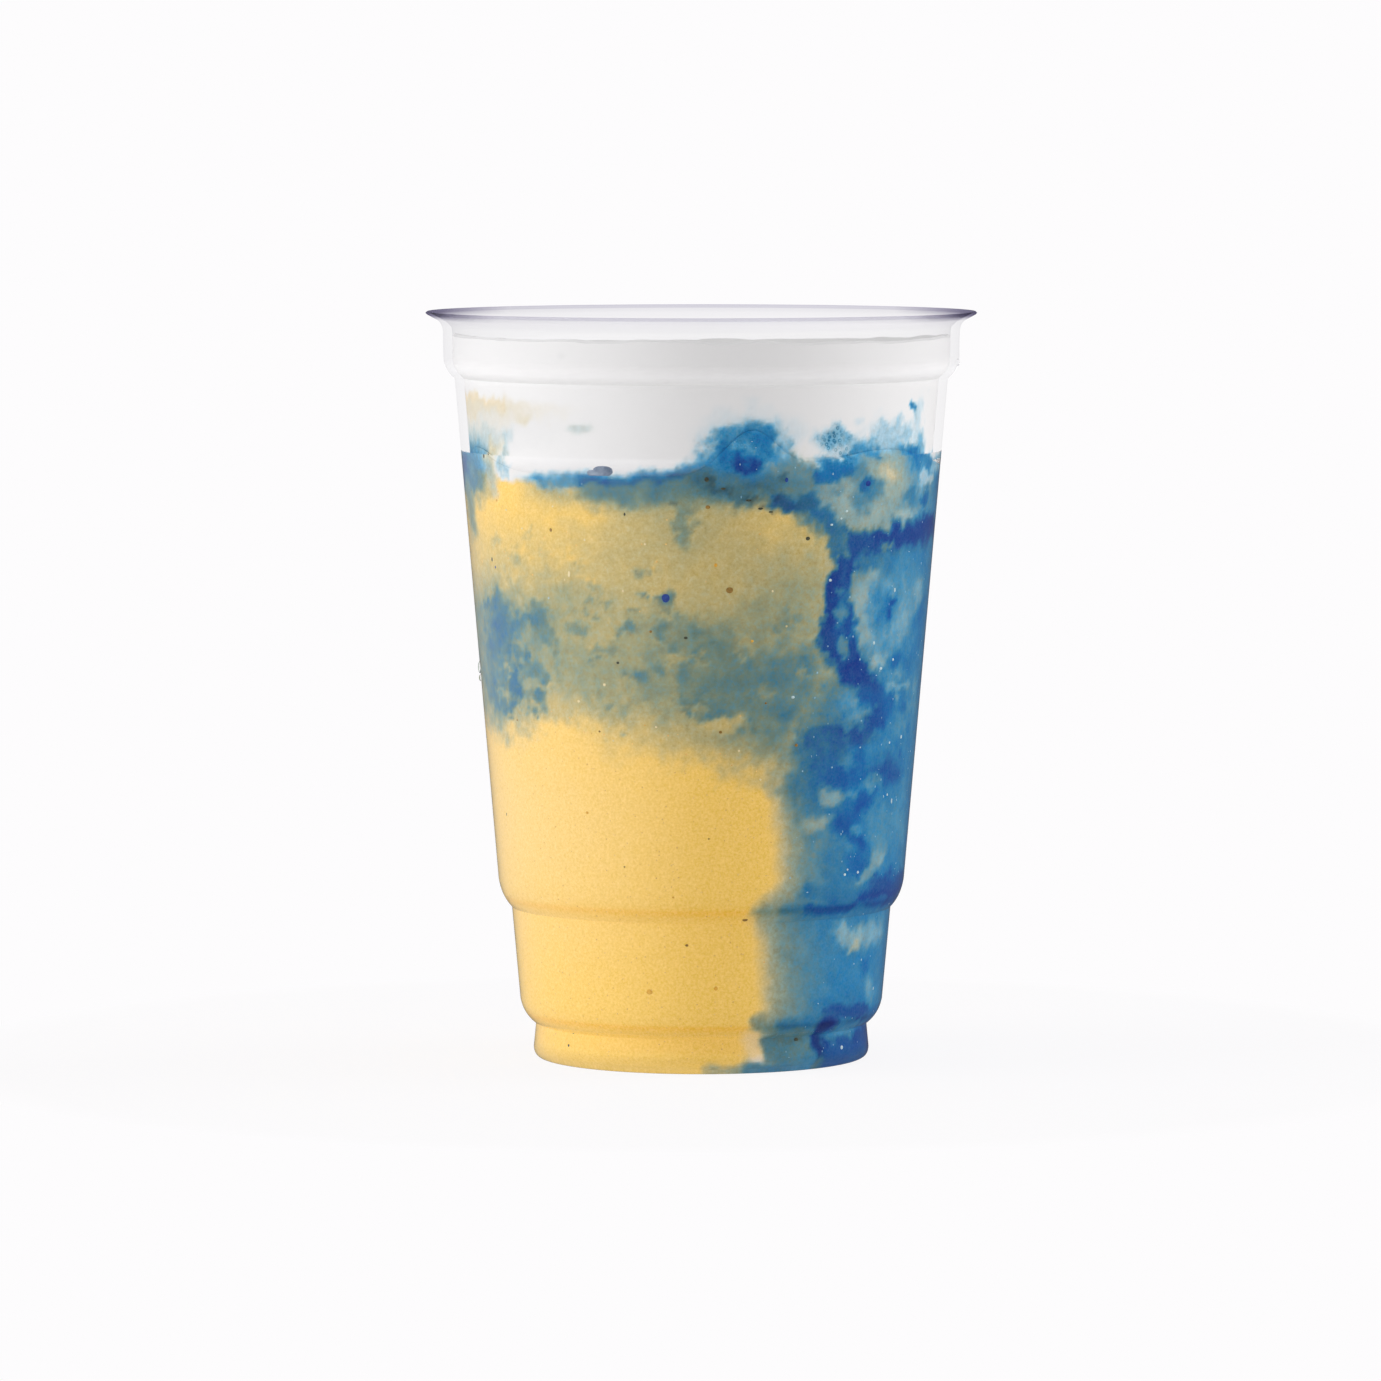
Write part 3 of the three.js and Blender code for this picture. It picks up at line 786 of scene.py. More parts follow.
def marble_column(blue, milk, grain, shade):
    """The blue column at the right, from the sage where it meets the mango to its azure side."""
    # Sage at the mango, then blue, and milky further round.
    blue.between(0.34, mango_edge, back_edge, 4.5, 1.0)
    blue.between(0.50, mango_edge, back_edge, 6.0, 5.5)
    blue.between(0.62, mango_edge, back_edge, 8.0, 11.0)
    blue.between(0.75, mango_edge, back_edge, 10.0, 20.0)
    milk.between(0.16, mango_edge, back_edge, 6.0)
    milk.between(0.44, mango_edge, back_edge, 8.0, 11.0)
    milk.between(0.80, mango_edge, back_edge, 10.0, 22.0)
    milk.washes((0.08, 29, 66, 8, 12))
    grain.between(0.42, mango_edge, back_edge, 8.0, 8.0)
    grain.washes((0.8, 50, 62, 18, 24))

    # The pale cloud at the top of the column, close under the cream.
    blue.blots(
        (0.47, 48, 98, 14, 6.4, 0.6), (0.56, 68, 97.4, 6, 4, 1), (0.4, 35, 96.6, 4, 2.4),
        (0.4, 46, 94.4, 5, 2), (0.38, 52, 101, 4.2, 3.4), (0.22, 52, 101.4, 1.7, 1.7),
        (0.12, 52, 101.6, 0.8, 0.9), (0.7, 45.2, 98.4, 2.4, 2.8, 1.2), (0.86, 44.4, 99.6, 1.2, 1, 1.2),
        (0.64, 42, 97.2, 1.8, 1.2, 1.2), (0.64, 41, 102.4, 1.8, 2.2, 1.2), (0.62, 35, 98.6, 1.8, 0.8),
        (0.72, 62, 97.4, 2.6, 1.2, 1.2), (0.84, 70, 96.4, 1.6, 1.3, 1.2), (0.36, 60, 94.2, 3.4, 0.8),
        (0.36, 69, 99.6, 2.6, 0.8),
    )
    milk.blots((0.42, 46, 98, 14, 6.4, 0.6), (0.66, 70, 98.4, 7, 5, 1.2), (0.34, 52, 101.6, 4.2, 3.4))

    # The dark strand that runs level below that cloud.
    blue.streaks(
        (0.9, [(35, 90.4), (42, 89), (50, 89.8), (60, 90.4), (70, 90.8), (86, 90.6)], 2, 1),
        (0.96, [(50, 90.4), (56, 90.8), (64, 90.4), (74, 91.4), (86, 91.2)], 1.5),
    )
    blue.blots(
        (0.6, 52.5, 89.2, 1.4, 0.7, 1.2), (0.72, 60, 86.4, 6, 1.8), (0.76, 46, 86.4, 2.6, 1.6),
        (0.8, 56, 87.6, 1.6, 0.9, 1.2),
    )
    milk.streaks((0.06, [(35, 90.4), (50, 90), (60, 90.4), (86, 90.8)], 2.2, 1))

    # The large pale cloud in the upper half, with dark spots in it.
    blue.blots((0.56, 54, 77, 9, 7, 0.6), (0.6, 66, 79, 5, 5, 1.2))
    blue.streaks((0.44, [(45, 81.6), (43.8, 78.6), (45, 75.6), (47.5, 72.8)], 1.5))
    blue.blots(
        (0.44, 47.8, 83.8, 1.8, 1.1, 1.2), (0.44, 53.2, 69.4, 2.4, 1.4, 1.2), (0.5, 62, 76, 4, 2.2),
        (0.5, 72, 80.4, 2.6, 2), (0.8, 55.5, 78.2, 3.2, 2.2), (0.7, 53, 76.2, 1.8, 1.2),
        (0.72, 50, 80.6, 1.6, 1.2), (0.98, 57.2, 80, 1.5, 0.8, 1.2), (0.98, 56, 78, 1.1, 0.8, 1.2),
        (0.82, 75.5, 74.4, 2.8, 4),
    )
    milk.blots((0.78, 54, 77, 9, 7, 0.7), (0.74, 68, 79, 6, 6, 1.2))
    milk.streaks((0.5, [(45, 81.6), (43.8, 78.6), (45, 75.6), (47.5, 72.8)], 1.3))

    # The dark strand that winds down the mango's side of the column.
    blue.streaks(
        (0.9, [(35.2, 91), (38, 88.4), (38, 85.4), (36.8, 81), (36.4, 77), (36, 73.6)], 2.4, 0.8),
        (0.98, [(36.2, 84.6), (35.8, 80), (35.2, 76.6), (35.6, 74.2)], 1.2),
        (0.96, [(41.4, 88), (40.6, 85.6)], 1.2), (0.94, [(40.6, 78.4), (41.4, 74.6), (43.4, 71)], 1.3),
        (0.93, [(36, 73), (39.5, 70.4), (44, 68), (48, 65.6), (52, 62.6), (54, 60)], 2.6, 0.9),
    )
    blue.blots((1, 43.4, 68.2, 2.6, 2.2, 1), (0.99, 52.4, 58.4, 2.4, 1.5, 1.2))
    blue.streaks(
        (0.86, [(31, 55.6), (37, 55.6), (44, 56.4), (50, 57)], 2.6, 1.8, 1.6, 0.9),
        (0.94, [(37, 57.4), (42, 57.8), (47, 57.2)], 0.9, 1.6, 1.4),
        (0.94, [(45, 54.5), (48.5, 52.6), (50, 50.6)], 1.5),
    )
    blue.blots(
        (0.66, 38.6, 88.4, 1.5, 1, 1.2), (0.62, 38, 78, 1.3, 1.7, 1.2), (0.6, 39.4, 72.8, 1.3, 1.2, 1.2),
        (0.74, 37.6, 82, 0.9, 0.7, 1.2),
    )
    milk.streaks(
        (0.08, [(36, 90), (37, 81), (36.4, 73), (44, 68), (52, 62.6), (52, 58), (34, 56.4)], 2.6, 1),
    )
    milk.blots((0.45, 38.6, 77, 1.4, 6))

    # Light and dark patches beside the foot of that strand.
    blue.washes((0.72, 37, 62, 5, 4))
    blue.blots(
        (0.56, 43, 63.4, 2.8, 1.6, 1.2, 1, -0.8), (0.56, 47.6, 60.7, 2.6, 1.1, 1.2, 1, -0.8),
        (0.86, 60, 69, 2.6, 1.5), (0.9, 57, 61.6, 2.6, 2.4),
    )
    blue.streaks((0.52, [(59, 64.4), (64, 63.4), (70, 64.4)], 0.9, 1.4))
    blue.blots(
        (0.6, 63, 66.8, 3.2, 1.2), (0.64, 66, 57.8, 3.4, 1.8), (0.84, 66, 60.6, 2.6, 0.8),
        (0.58, 76, 62, 3, 3, 1.6),
    )
    milk.blots((0.72, 45, 62, 5, 2.6, 1.2), (0.7, 66, 62, 7, 7))

    # The mottled part above the upper ledge.
    blue.washes((0.84, 38, 51, 8, 4.5), (0.84, 47, 44, 7, 6), (0.82, 48, 36, 5, 4))
    blue.blots(
        (0.92, 42, 50, 3.6, 2), (0.7, 43, 52.6, 2.4, 1.2), (0.92, 62, 50.4, 4.6, 2.4, 1.2),
        (0.98, 51.8, 44.8, 2.2, 2.2, 1.2), (0.94, 44, 41, 2.8, 1.6), (0.97, 50.2, 38.2, 2.8, 1.6, 1.2),
        (0.9, 49, 34.6, 2, 1.6), (0.92, 48, 42.8, 2, 1), (0.64, 46, 46.8, 2.4, 1),
        (0.66, 48.6, 40.4, 1.4, 0.7), (0.66, 44, 37.6, 1.8, 1), (0.62, 53.6, 48.6, 1.8, 1.2),
        (0.74, 30.6, 50.4, 2.6, 1.4), (0.72, 30.6, 46.4, 1, 1.4, 1.2), (0.46, 38, 46.8, 2.2, 1.2, 1.2),
        (0.44, 33.6, 42, 2.6, 1.2), (0.66, 57, 43.6, 3, 3), (0.6, 60, 39, 3.2, 3),
        (0.48, 60, 34.8, 2.4, 2, 1.2, 1, 0.6), (0.46, 54, 31.8, 2.6, 1, 1.2, 1, 0.6), (0.66, 72, 41, 5, 5),
    )
    milk.blots((0.3, 61, 50.4, 5, 2.8), (0.46, 38, 46.8, 2.2, 1.2, 1.2), (0.72, 60, 42, 5, 6))
    milk.streaks((0.56, [(51, 31.2), (56, 33), (61, 36.4)], 2))

    # The dark line along the upper ledge, partly painted shade where the plastic folds.
    blue.streaks(
        (0.8, [(33, 29.2), (44, 29.4), (56, 29)], 2.2, 1.6), (0.92, [(60, 30.2), (70, 30.6), (84, 29.6)], 2),
        (0.97, [(54, 28.2), (66, 28.4), (84, 28)], 1, 1.4),
        (0.44, [(17, 27.9), (22, 27.8), (28, 27.8)], 1.3, 2, 0.5),
        (0.68, [(25, 27.9), (30, 27.9), (36, 27.8)], 1.1, 1.8, 0.5),
        (0.9, [(32, 27.5), (44, 27.3), (60, 27.3), (80, 27)], 0.8, 1.4, 0.4),
    )
    milk.streaks((0.45, [(33, 29.2), (44, 29.4), (56, 29)], 2.2, 1.6), (0.1, [(60, 29.6), (84, 29)], 2.2))

    # Pale patches between the ledges, and the dark line along the lower ledge, partly painted shade.
    blue.blots(
        (0.42, 48.6, 22.8, 2.6, 2.4, 1.2), (0.42, 56, 21.2, 3.4, 1.6, 1.2), (0.48, 67, 22, 5.4, 2.2),
        (0.34, 56.4, 20.2, 1.5, 0.8), (0.74, 55, 25.4, 3, 1.2, 1.6), (0.84, 62.8, 16.2, 2.2, 1.2),
        (0.78, 58.4, 11.8, 2.6, 1.2), (0.78, 43.6, 10.8, 2.4, 0.9), (0.54, 68, 12.6, 2.4, 2.2, 1.6),
    )
    blue.streaks(
        (0.92, [(45, 8.5), (52, 9.3), (58, 8.8), (68, 7.8)], 1.2),
        (0.5, [(18, 8), (24, 8), (30, 8)], 1, 2, 0.5), (0.76, [(27, 8), (36, 8), (46, 8)], 0.9, 1.8, 0.5),
    )
    milk.blots((0.62, 54, 22, 6, 3.2, 1.2), (0.34, 56.4, 20.2, 1.5, 0.8))
    milk.streaks((0.2, [(45, 8.5), (52, 9.3), (68, 7.8)], 1.4, 1.4))

    # The foot: a blue stain with a dark edge, a white run beside it, and a line along the bottom that is
    # partly painted shade.
    blue.blots((0.64, 32, 3.8, 6.2, 3.4, 0.7, 0.3))
    blue.streaks(
        (1, [(45.2, 6.4), (46, 3.4), (48, 0.8)], 2, 0.7, 0.5),
        (0.9, [(50, 1.2), (62, 1.2), (90, 1.6)], 2, 1), (0.94, [(68, 3.6), (84, 4)], 2),
    )
    blue.blots((0.66, 58, 5, 5, 1.3, 1.2))
    blue.streaks(
        (0, [(17.4, 5.4), (18.6, 3.4), (19.8, 1.6)], 1.3, 1, 0.3),
        (0.42, [(2, -0.4), (14, -0.2), (26, -0.1)], 0.8, 1.8, 0.4),
        (0.7, [(16, -0.3), (30, -0.1), (46, 0.2)], 0.9, 1.6, 0.4),
    )
    milk.blots((0.1, 32, 3.8, 6.2, 3.4, 1, 0.3))
    milk.streaks((0, [(45.2, 6.4), (48, 0.8)], 2.4, 0.8), (0.2, [(50, 1.2), (66, 2), (84, 3)], 2.4, 1))
    milk.blots((0.7, 58, 5, 5, 1.3))
    milk.streaks((0.3, [(17.4, 5.4), (18.6, 3.4), (19.8, 1.6)], 1.6, 1.6, 0.3))
    milk.blots((0.66, 19.8, 1.3, 1.2, 0.8, 1.6, 0.3))
    shade.blots((0.22, 28, 5.2, 5, 1.2, 1.6), (0.3, 34.6, 4.6, 1, 0.6))
    shade.streaks((0.3, [(44.6, 6.6), (45, 3.4), (45.6, 0.8)], 1.3, 1.4, 0.5))


def marble_back(blue, milk, grain):
    """The back, which nothing shows: the same band, strands and clouds, laid out one by one."""
    blue.washes((0.56, -108, 69, 14, 8), (0.42, -134, 75, 12, 7), (0.48, -168, 65, 16, 7))
    blue.blots(
        (0.74, -99, 69, 4.5, 2.6, 1.2), (0.8, -112, 65.6, 3.4, 1.8, 1.2), (0.72, -121, 71.6, 3.6, 2.2, 1.2),
        (0.62, -133, 76.8, 3.2, 1.8, 1.2), (0.6, -160, 66.4, 2.6, 1.6, 1.2),
        (0.66, -176, 61.8, 3.4, 1.4, 1.2),
    )
    blue.under(0.56, cream_edge, 6.0, -176, -92, 0.9)
    blue.under(0.84, cream_edge, 2.4, -150, -96)
    blue.streaks(
        (0.95, [(96, 91.6), (108, 90.2), (120, 84.6), (124, 76), (118, 68)], 2.2, 1),
        (0.95, [(118, 68), (126, 60), (138, 55.4), (142, 47), (134, 40)], 2.4, 1),
        (0.94, [(94, 52), (104, 46), (112, 37), (126, 31.6), (144, 29.4)], 2),
    )
    blue.blots(
        (0.5, 106, 76, 6.4, 5.6, 1), (0.54, 138, 88.6, 6, 4, 1.2), (0.52, 126, 46, 4.2, 3.2, 1.2),
        (0.5, 98, 62, 4.6, 2.6), (0.54, 118, 19.6, 6.4, 3.2),
    )
    # Dark lines along both ledges and the foot, partly painted shade as at the front.
    blue.streaks(
        (0.86, [(80, 27.4), (110, 27.6), (140, 27.6), (150, 27.6)], 1, 1.4, 0.4),
        (0.86, [(68, 7.8), (104, 8.2), (136, 8), (148, 7.8)], 0.9, 1.4, 0.4),
        (0.97, [(88, 2), (110, 2.8), (132, 1.8)], 2.2),
    )
    grain.washes((0.7, -120, 71, 18, 10), (0.6, -168, 66, 20, 9))
    grain.under(0.55, cream_edge, 8.0, -176, -88)
    grain.washes((0.8, 118, 66, 30, 28))
    milk.blots((0.4, 138, 88.6, 6, 4, 1.2))
    milk.streaks((0, [(88, 2), (110, 2.8), (132, 1.8)], 2.2))


def marble_cream_back(blue, milk, grain):
    """The clouds that stand up into the cream at the back."""
    milk.blots((1, 134, 107.4, 13, 4.6, 0.7), (0.84, -128, 108.6, 7, 2))
    blue.blots((0.66, 122, 106.8, 5.4, 2.6, 1), (0.8, 146, 108.4, 4.4, 3, 1))
    blue.streaks((0.36, [(158, 106.4), (170, 105.6), (184, 106.6)], 1.6, 1.6))
    blue.blots((0.14, -128, 108.6, 7, 2))
    grain.blots((0.7, 136, 107.4, 12, 4.4, 1))


def marbled(piece):
    """Writes how blue, milky, grainy, dark and foamy a piece is at each of its points, and the painted shade
    where the plastic folds.
    """
    wall = Wall(piece.data)
    dyes = {
        "blue": Dye(wall, 0.0), "milk": Dye(wall, 0.0), "grain": Dye(wall, 0.18),
        "shade": Dye(wall, 0.0), "foam": Dye(wall, 0.0), "fold": Dye(wall, 0.0),
    }
    blue, milk, grain, shade, foam, fold = dyes.values()
    marble_mango(blue, milk, grain)
    marble_column(blue, milk, grain, shade)
    marble_back(blue, milk, grain)
    marble_under_cream(blue, milk, grain, shade)
    marble_cream_front(blue, milk, grain, foam)
    marble_cream_back(blue, milk, grain)
    # Painted shade where the plastic folds, at both ledges and at the foot: the drink is made deeper and
    # darker there.
    fold.ring(0.30, 27.4, 1.4, 4.0)
    fold.ring(0.90, 27.4, 0.6, 1.1)
    fold.ring(0.30, 7.3, 1.0, 2.6)
    fold.ring(0.90, 7.3, 0.5, 0.9)
    fold.ring(0.8, -1.0, 1.4, 0.1)
    for name, dye in dyes.items():
        attribute = piece.data.attributes.new(name, "FLOAT", "POINT")
        attribute.data.foreach_set("value", np.clip(dye.amount, 0.0, 1.0).astype(np.float32))


# Colours from no blue to full blue, first in the thick mango and then in the cream and milky drink.
mango_to_blue = [
    (0.00, paint(251, 209, 107)), (0.15, paint(228, 200, 124)), (0.30, paint(199, 187, 133)),
    (0.42, paint(166, 171, 135)), (0.55, paint(126, 152, 138)), (0.67, paint(88, 135, 146)),
    (0.78, paint(54, 117, 154)), (0.88, paint(36, 88, 150)), (1.00, paint(22, 54, 134)),
]
cream_to_blue = [
    (0.00, paint(231, 230, 229)), (0.20, paint(196, 219, 229)), (0.40, paint(138, 194, 220)),
    (0.60, paint(74, 158, 202)), (0.80, paint(30, 126, 182)), (1.00, paint(16, 80, 156)),
]
dark_swirl = paint(30, 56, 66)


def smoothie_material(name, gloss, lump_size, lump_depth):
    """A smoothie: its painted marbling, broken up by clumps and grains, with a wet, pulpy surface."""
    material, place = blank(name)
    painted = {
        key: place.node("ShaderNodeAttribute", {"attribute_name": key}, output="Fac")
        for key in ("blue", "milk", "grain", "shade", "foam", "fold")
    }
    clumps = noise_at(place, 3.6, 5.0, 0.62)
    flecks = noise_at(place, 1.0, 4.0, 0.75)
    pulp = noise_at(place, 0.42, 2.0, 0.7)
    sockets = {"Vector": place, "Scale": 1 / (0.80 * MM), "Randomness": 1.0}
    cells = place.node("ShaderNodeTexVoronoi", {"feature": "F1"}, sockets, "Distance")
    ring = (1 - (cells * 2.0 - 0.62).absolute() * 2.6).within()
    partly = painted["blue"] * (1 - painted["blue"]) * 4
    speckle = (clumps - 0.5) * 0.8 + (flecks - 0.5) * 1.0 + (pulp - 0.5) * 0.35
    unevenness = painted["grain"] * (partly * 0.48 + 0.12) + partly * 0.10
    foamy = ring * painted["foam"] * 0.25 - painted["foam"] * 0.08
    blue = (painted["blue"] + unevenness * speckle + foamy).within()
    milk = (painted["milk"] + partly * (flecks - 0.5) * 0.4).within()
    pulpy = 1 - painted["milk"] * (1 - partly) * 0.85
    thick = blue.ramp(mango_to_blue)
    thin = blue.ramp(cream_to_blue)
    swirled = milk.mixed(thick, thin)
    foam_walls = ring * painted["foam"] * 0.55
    darkened = (painted["shade"] + foam_walls).within().mixed(swirled, (*dark_swirl, 1.0))
    # Painted shade: the colour is darkened where the plastic folds, at the ledges and the foot.
    crease_shaded = place.node("ShaderNodeGamma", None, {"Color": darkened, "Gamma": 1 + painted["fold"] * 0.27})
    tone = place.node("ShaderNodeHueSaturation", None, {
        "Value": 1 + pulpy * ((pulp - 0.5) * 0.34 + (flecks - 0.65) * (partly + 0.08)),
        "Saturation": 1 - pulpy * (pulp - 0.5) * 0.30,
        "Color": crease_shaded,
    })
    lumps = noise_at(place, lump_size, 3.0, 0.6)
    return finished(material, place.node("ShaderNodeBsdfPrincipled", None, {
        "Base Color": tone,
        "Roughness": gloss + 0.16 * lumps,
        "Normal": bumped(lumps + pulp * 0.3, 0.4, lump_depth),
        "Specular IOR Level": 0.12,
    }))


mango = all_that_it_holds("mango_layer", -INTO_WALL)
cut(mango, below(mango_top), "INTERSECT")
cut(mango, left_of(blue_edge), "INTERSECT")
marbled(mango)
mango.data.materials.append(smoothie_material("mango smoothie", 0.42, 1.6, 0.12))
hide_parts("mango_smoothie")
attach(mango, "root")


# The blue spirulina smoothie is poured down the right-hand side, from front to back, and spreads
# in a thin sheet over the mango before the cream goes on.
mango_room = below(mango_top)
cut(mango_room, left_of(blue_edge), "INTERSECT")
spirulina = all_that_it_holds("spirulina_layer", -INTO_WALL)
cut(spirulina, below(cream_floor), "INTERSECT")
cut(spirulina, mango_room, "DIFFERENCE")
marbled(spirulina)
spirulina.data.materials.append(smoothie_material("spirulina smoothie", 0.36, 1.8, 0.10))
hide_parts("spirulina_swirl")
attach(spirulina, "root")


# The cream is spooned on last. It is stiffer and doesn't wet the wall, so a film of air lies
# between them, and it slumps a little along the wall at the front right.
CREAM_FILM = 0.05
CREAM_RADIUS = 42.0
SLUMP_FROM = 121.4
SLUMP_DEPTH = 3.4


def slumped(piece):
    """Sinks the top of the cream unevenly, and leaves soft folds and small pits in it."""
    for vertex in piece.data.vertices:
        x, y, z = vertex.co / MM
        share = min(1.0, max(0.0, (z - SLUMP_FROM) / SLUMP_DEPTH))
        if share == 0.0:
            continue
        turn = math.degrees(math.atan2(x, -y))
        near_wall = min(1.0, math.hypot(x, y) / CREAM_RADIUS) ** 3
        slump = 0.45 * math.exp(-((turn - 38) / 30) ** 2) + 0.4 * math.exp(-((turn + 150) / 40) ** 2)
        slump += 2.2 * max(0.0, y / CREAM_RADIUS) + 0.25
        slump += 0.30 * noise.noise(Vector((turn / 9, 3.0, 5.0)))
        folds = noise.noise(Vector((x / 13, y / 13, 4.0))) * 0.55
        dimples = noise.noise(Vector((x / 4.2, y / 4.2, 9.0))) * 0.22
        pits = max(0.0, noise.noise(Vector((x / 1.9, y / 1.9, 2.0))) - 0.36) * 1.4
        lift = (folds + dimples) * (1 - 0.55 * near_wall) - pits * (1 - near_wall) - slump * near_wall
        vertex.co.z += (lift - 0.1 - 0.1 * near_wall) * share * MM


cream = all_that_it_holds("cream_layer", CREAM_FILM)
cut(cream, below(cream_floor), "DIFFERENCE")
slumped(cream)
marbled(cream)
cream.data.materials.append(smoothie_material("cream", 0.46, 2.6, 0.10))
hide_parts("cream")
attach(cream, "root")


# Small bits lie against the wall: brown and orange bits of fruit, dark specks, pale pulp, a few
# drops of blue, and bubbles whose pale colour is a painted glint. They are pressed flat where they touch it.
wall_face = np.array(cup_inside[4:])
BIT_SEGMENTS = 10
BIT_RINGS = 6


def bit_material(name, dark, light, grain_size, gloss):
    """One bit's colour, uneven between a dark and a light one, with a wet surface."""
    material, place = blank(name)
    uneven = noise_at(place, grain_size, 3.0, 0.6)
    return finished(material, place.node("ShaderNodeBsdfPrincipled", None, {
        "Base Color": ((uneven - 0.3) * 2.5).within().mixed((*dark, 1.0), (*light, 1.0)),
        "Roughness": gloss + 0.15 * uneven,
        "Normal": bumped(uneven, 0.3, 0.05),
        "Specular IOR Level": 0.3,
    }))


def bits(name, material, depth, out, spots, face=wall_face):
    """Flat round bits on a face of the wall, each with its turn, height, half width and half height.
    Depth is half their thickness, and out is how far beyond the face their middles lie."""
    shape = bmesh.new()
    for turn, counted, across, up in spots:
        height = counted + COUNTED_FROM
        angle = math.radians(turn)
        outwards = Vector((math.sin(angle), -math.cos(angle), 0))
        sideways = Vector((math.cos(angle), math.sin(angle), 0))
        radius = float(np.interp(height, face[:, 1], face[:, 0])) + out
        turned_out = Matrix((sideways * across, Vector((0, 0, up)), outwards * depth)).transposed().to_4x4()
        turned_out.translation = outwards * radius + Vector((0, 0, height))
        scaled = Matrix.Scale(MM, 4) @ turned_out
        bmesh.ops.create_uvsphere(
            shape, u_segments=BIT_SEGMENTS, v_segments=BIT_RINGS, radius=1.0, matrix=scaled,
        )
    mesh = bpy.data.meshes.new(name)
    shape.to_mesh(mesh)
    shape.free()
    made = stood(name, mesh, 80)
    made.data.materials.append(material)
    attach(made, "root")
    return made


brown_bit = bit_material("brown bit", paint(122, 90, 40), paint(170, 132, 60), 0.4, 0.5)
bits("fruit_bits", brown_bit, 0.08, 0.14, [
    (7, 82.3, 0.62, 0.6), (-40, 92, 0.3, 0.34), (1.5, 96.3, 0.42, 0.34), (5, 58.2, 0.3, 0.26),
    (13, 26.2, 0.5, 0.4), (-4.5, 21.6, 0.28, 0.24), (26, 55.7, 0.32, 0.3), (-13, 75.2, 0.26, 0.24),
    (-58, 59, 0.22, 0.2), (-28, 58, 0.2, 0.18), (17, 63, 0.22, 0.2), (-22, 35, 0.18, 0.16),
    (2, 40, 0.16, 0.16),
])
orange_bit = bit_material("orange bit", paint(208, 150, 44), paint(236, 184, 76), 0.5, 0.45)
bits("orange_bits", orange_bit, 0.09, 0.14, [
    (3.5, 86.5, 0.28, 0.34), (-16.5, 13.5, 0.55, 0.5), (4.5, 14.2, 0.34, 0.4),
    (-60, 96.5, 0.24, 0.22), (-33, 44, 0.3, 0.26), (13, 73.6, 0.26, 0.24), (-8, 30, 0.22, 0.2),
])
dark_bit = bit_material("dark bit", paint(38, 44, 40), paint(84, 84, 58), 0.4, 0.4)
bits("dark_bits", dark_bit, 0.07, 0.14, [
    (-65, 86.3, 0.28, 0.42), (-22, 69.8, 0.28, 0.24), (-4, 74.2, 0.34, 0.26), (27, 90.8, 0.42, 0.36),
    (-51, 5.2, 0.34, 0.3), (-53, 2.8, 0.24, 0.24), (35, 4.5, 0.44, 0.34), (-65, 104, 0.32, 0.42),
    (-19, 95, 0.18, 0.3), (14.4, 96, 0.46, 0.22), (17, 95.4, 0.4, 0.18), (11.4, 97.4, 0.5, 0.2),
    (1.2, 101, 0.4, 0.44), (5.2, 99.4, 0.46, 0.22), (-69, 42.3, 0.16, 0.3),
])
blue_bit = bit_material("blue drop", paint(16, 44, 122), paint(26, 72, 158), 0.7, 0.35)
bits("blue_bits", blue_bit, 0.09, 0.14, [
    (-9, 81, 0.7, 0.86), (-63.4, 85, 0.22, 0.26), (20.8, 100.8, 0.3, 0.44), (44.4, 99.8, 0.62, 0.52),
])
# Bubbles whose pale colour is a painted glint, where light catches them.
glint_bit = bit_material("glinting bubble", paint(170, 196, 200), paint(214, 228, 230), 0.5, 0.2)
bits("glint_bubbles", glint_bit, 0.09, 0.13, [
    (24.5, 63.9, 0.34, 0.26), (34, 83.6, 0.3, 0.26), (57.8, 81.3, 0.26, 0.42), (50.3, 72.5, 0.28, 0.34),
    (54, 68, 0.4, 0.26), (59.5, 69.3, 0.3, 0.26), (68, 55.7, 0.34, 0.34), (61, 55, 0.24, 0.24),
    (57.5, 2.3, 0.42, 0.36), (65, 44.8, 0.26, 0.5), (62, 46, 0.24, 0.24), (44.6, 33, 0.3, 0.26),
    (50, 33.2, 0.28, 0.26), (45.6, 33.8, 0.2, 0.2), (38, 95.2, 0.28, 0.22), (36.4, 94, 0.24, 0.2),
    (33.6, 93, 0.3, 0.2), (71, 12, 0.24, 0.3), (-42, 80.4, 0.2, 0.22),
])
pulp_bit = bit_material("pale pulp", paint(214, 196, 138), paint(246, 232, 192), 0.4, 0.3)
bits("pulp_bits", pulp_bit, 0.08, 0.14, [
    (-35, 84.7, 0.26, 0.6), (-36.5, 83.6, 0.16, 0.2), (-26, 66, 0.3, 0.26), (-34, 63, 0.26, 0.24),
    (-20, 82, 0.2, 0.22), (-24, 56.5, 0.2, 0.18), (-50, 92, 0.22, 0.18), (-30, 90.5, 0.2, 0.22),
    (-56, 95, 0.22, 0.2), (-14, 90, 0.18, 0.2), (-39, 96, 0.2, 0.16), (18, 82, 0.18, 0.2),
    (22, 76, 0.2, 0.18), (-12, 59, 0.22, 0.16), (10, 55, 0.18, 0.2), (16, 50, 0.2, 0.18),
])
# The air bubble is an opaque dome; its grey is painted shade for the air in it.
glassy = bit_material("grey bubble", paint(84, 100, 124), paint(152, 166, 184), 2.4, 0.08)
bits("grey_bubble", glassy, 0.16, -0.10, [(-24.4, 102.3, 1.9, 1.2), (-27.2, 101.9, 1.1, 0.6)])


# Tiny bubbles and fibres are strewn over the faces of the drink that touch the wall: air and ice in
# the blue, and pulp in the mango. They lie thickest where the marbling is grainy.
FLECK_SEGMENTS = 7
FLECK_RINGS = 4
LOWEST_FLECK = 2.0
WALL_CLOSENESS = 0.04


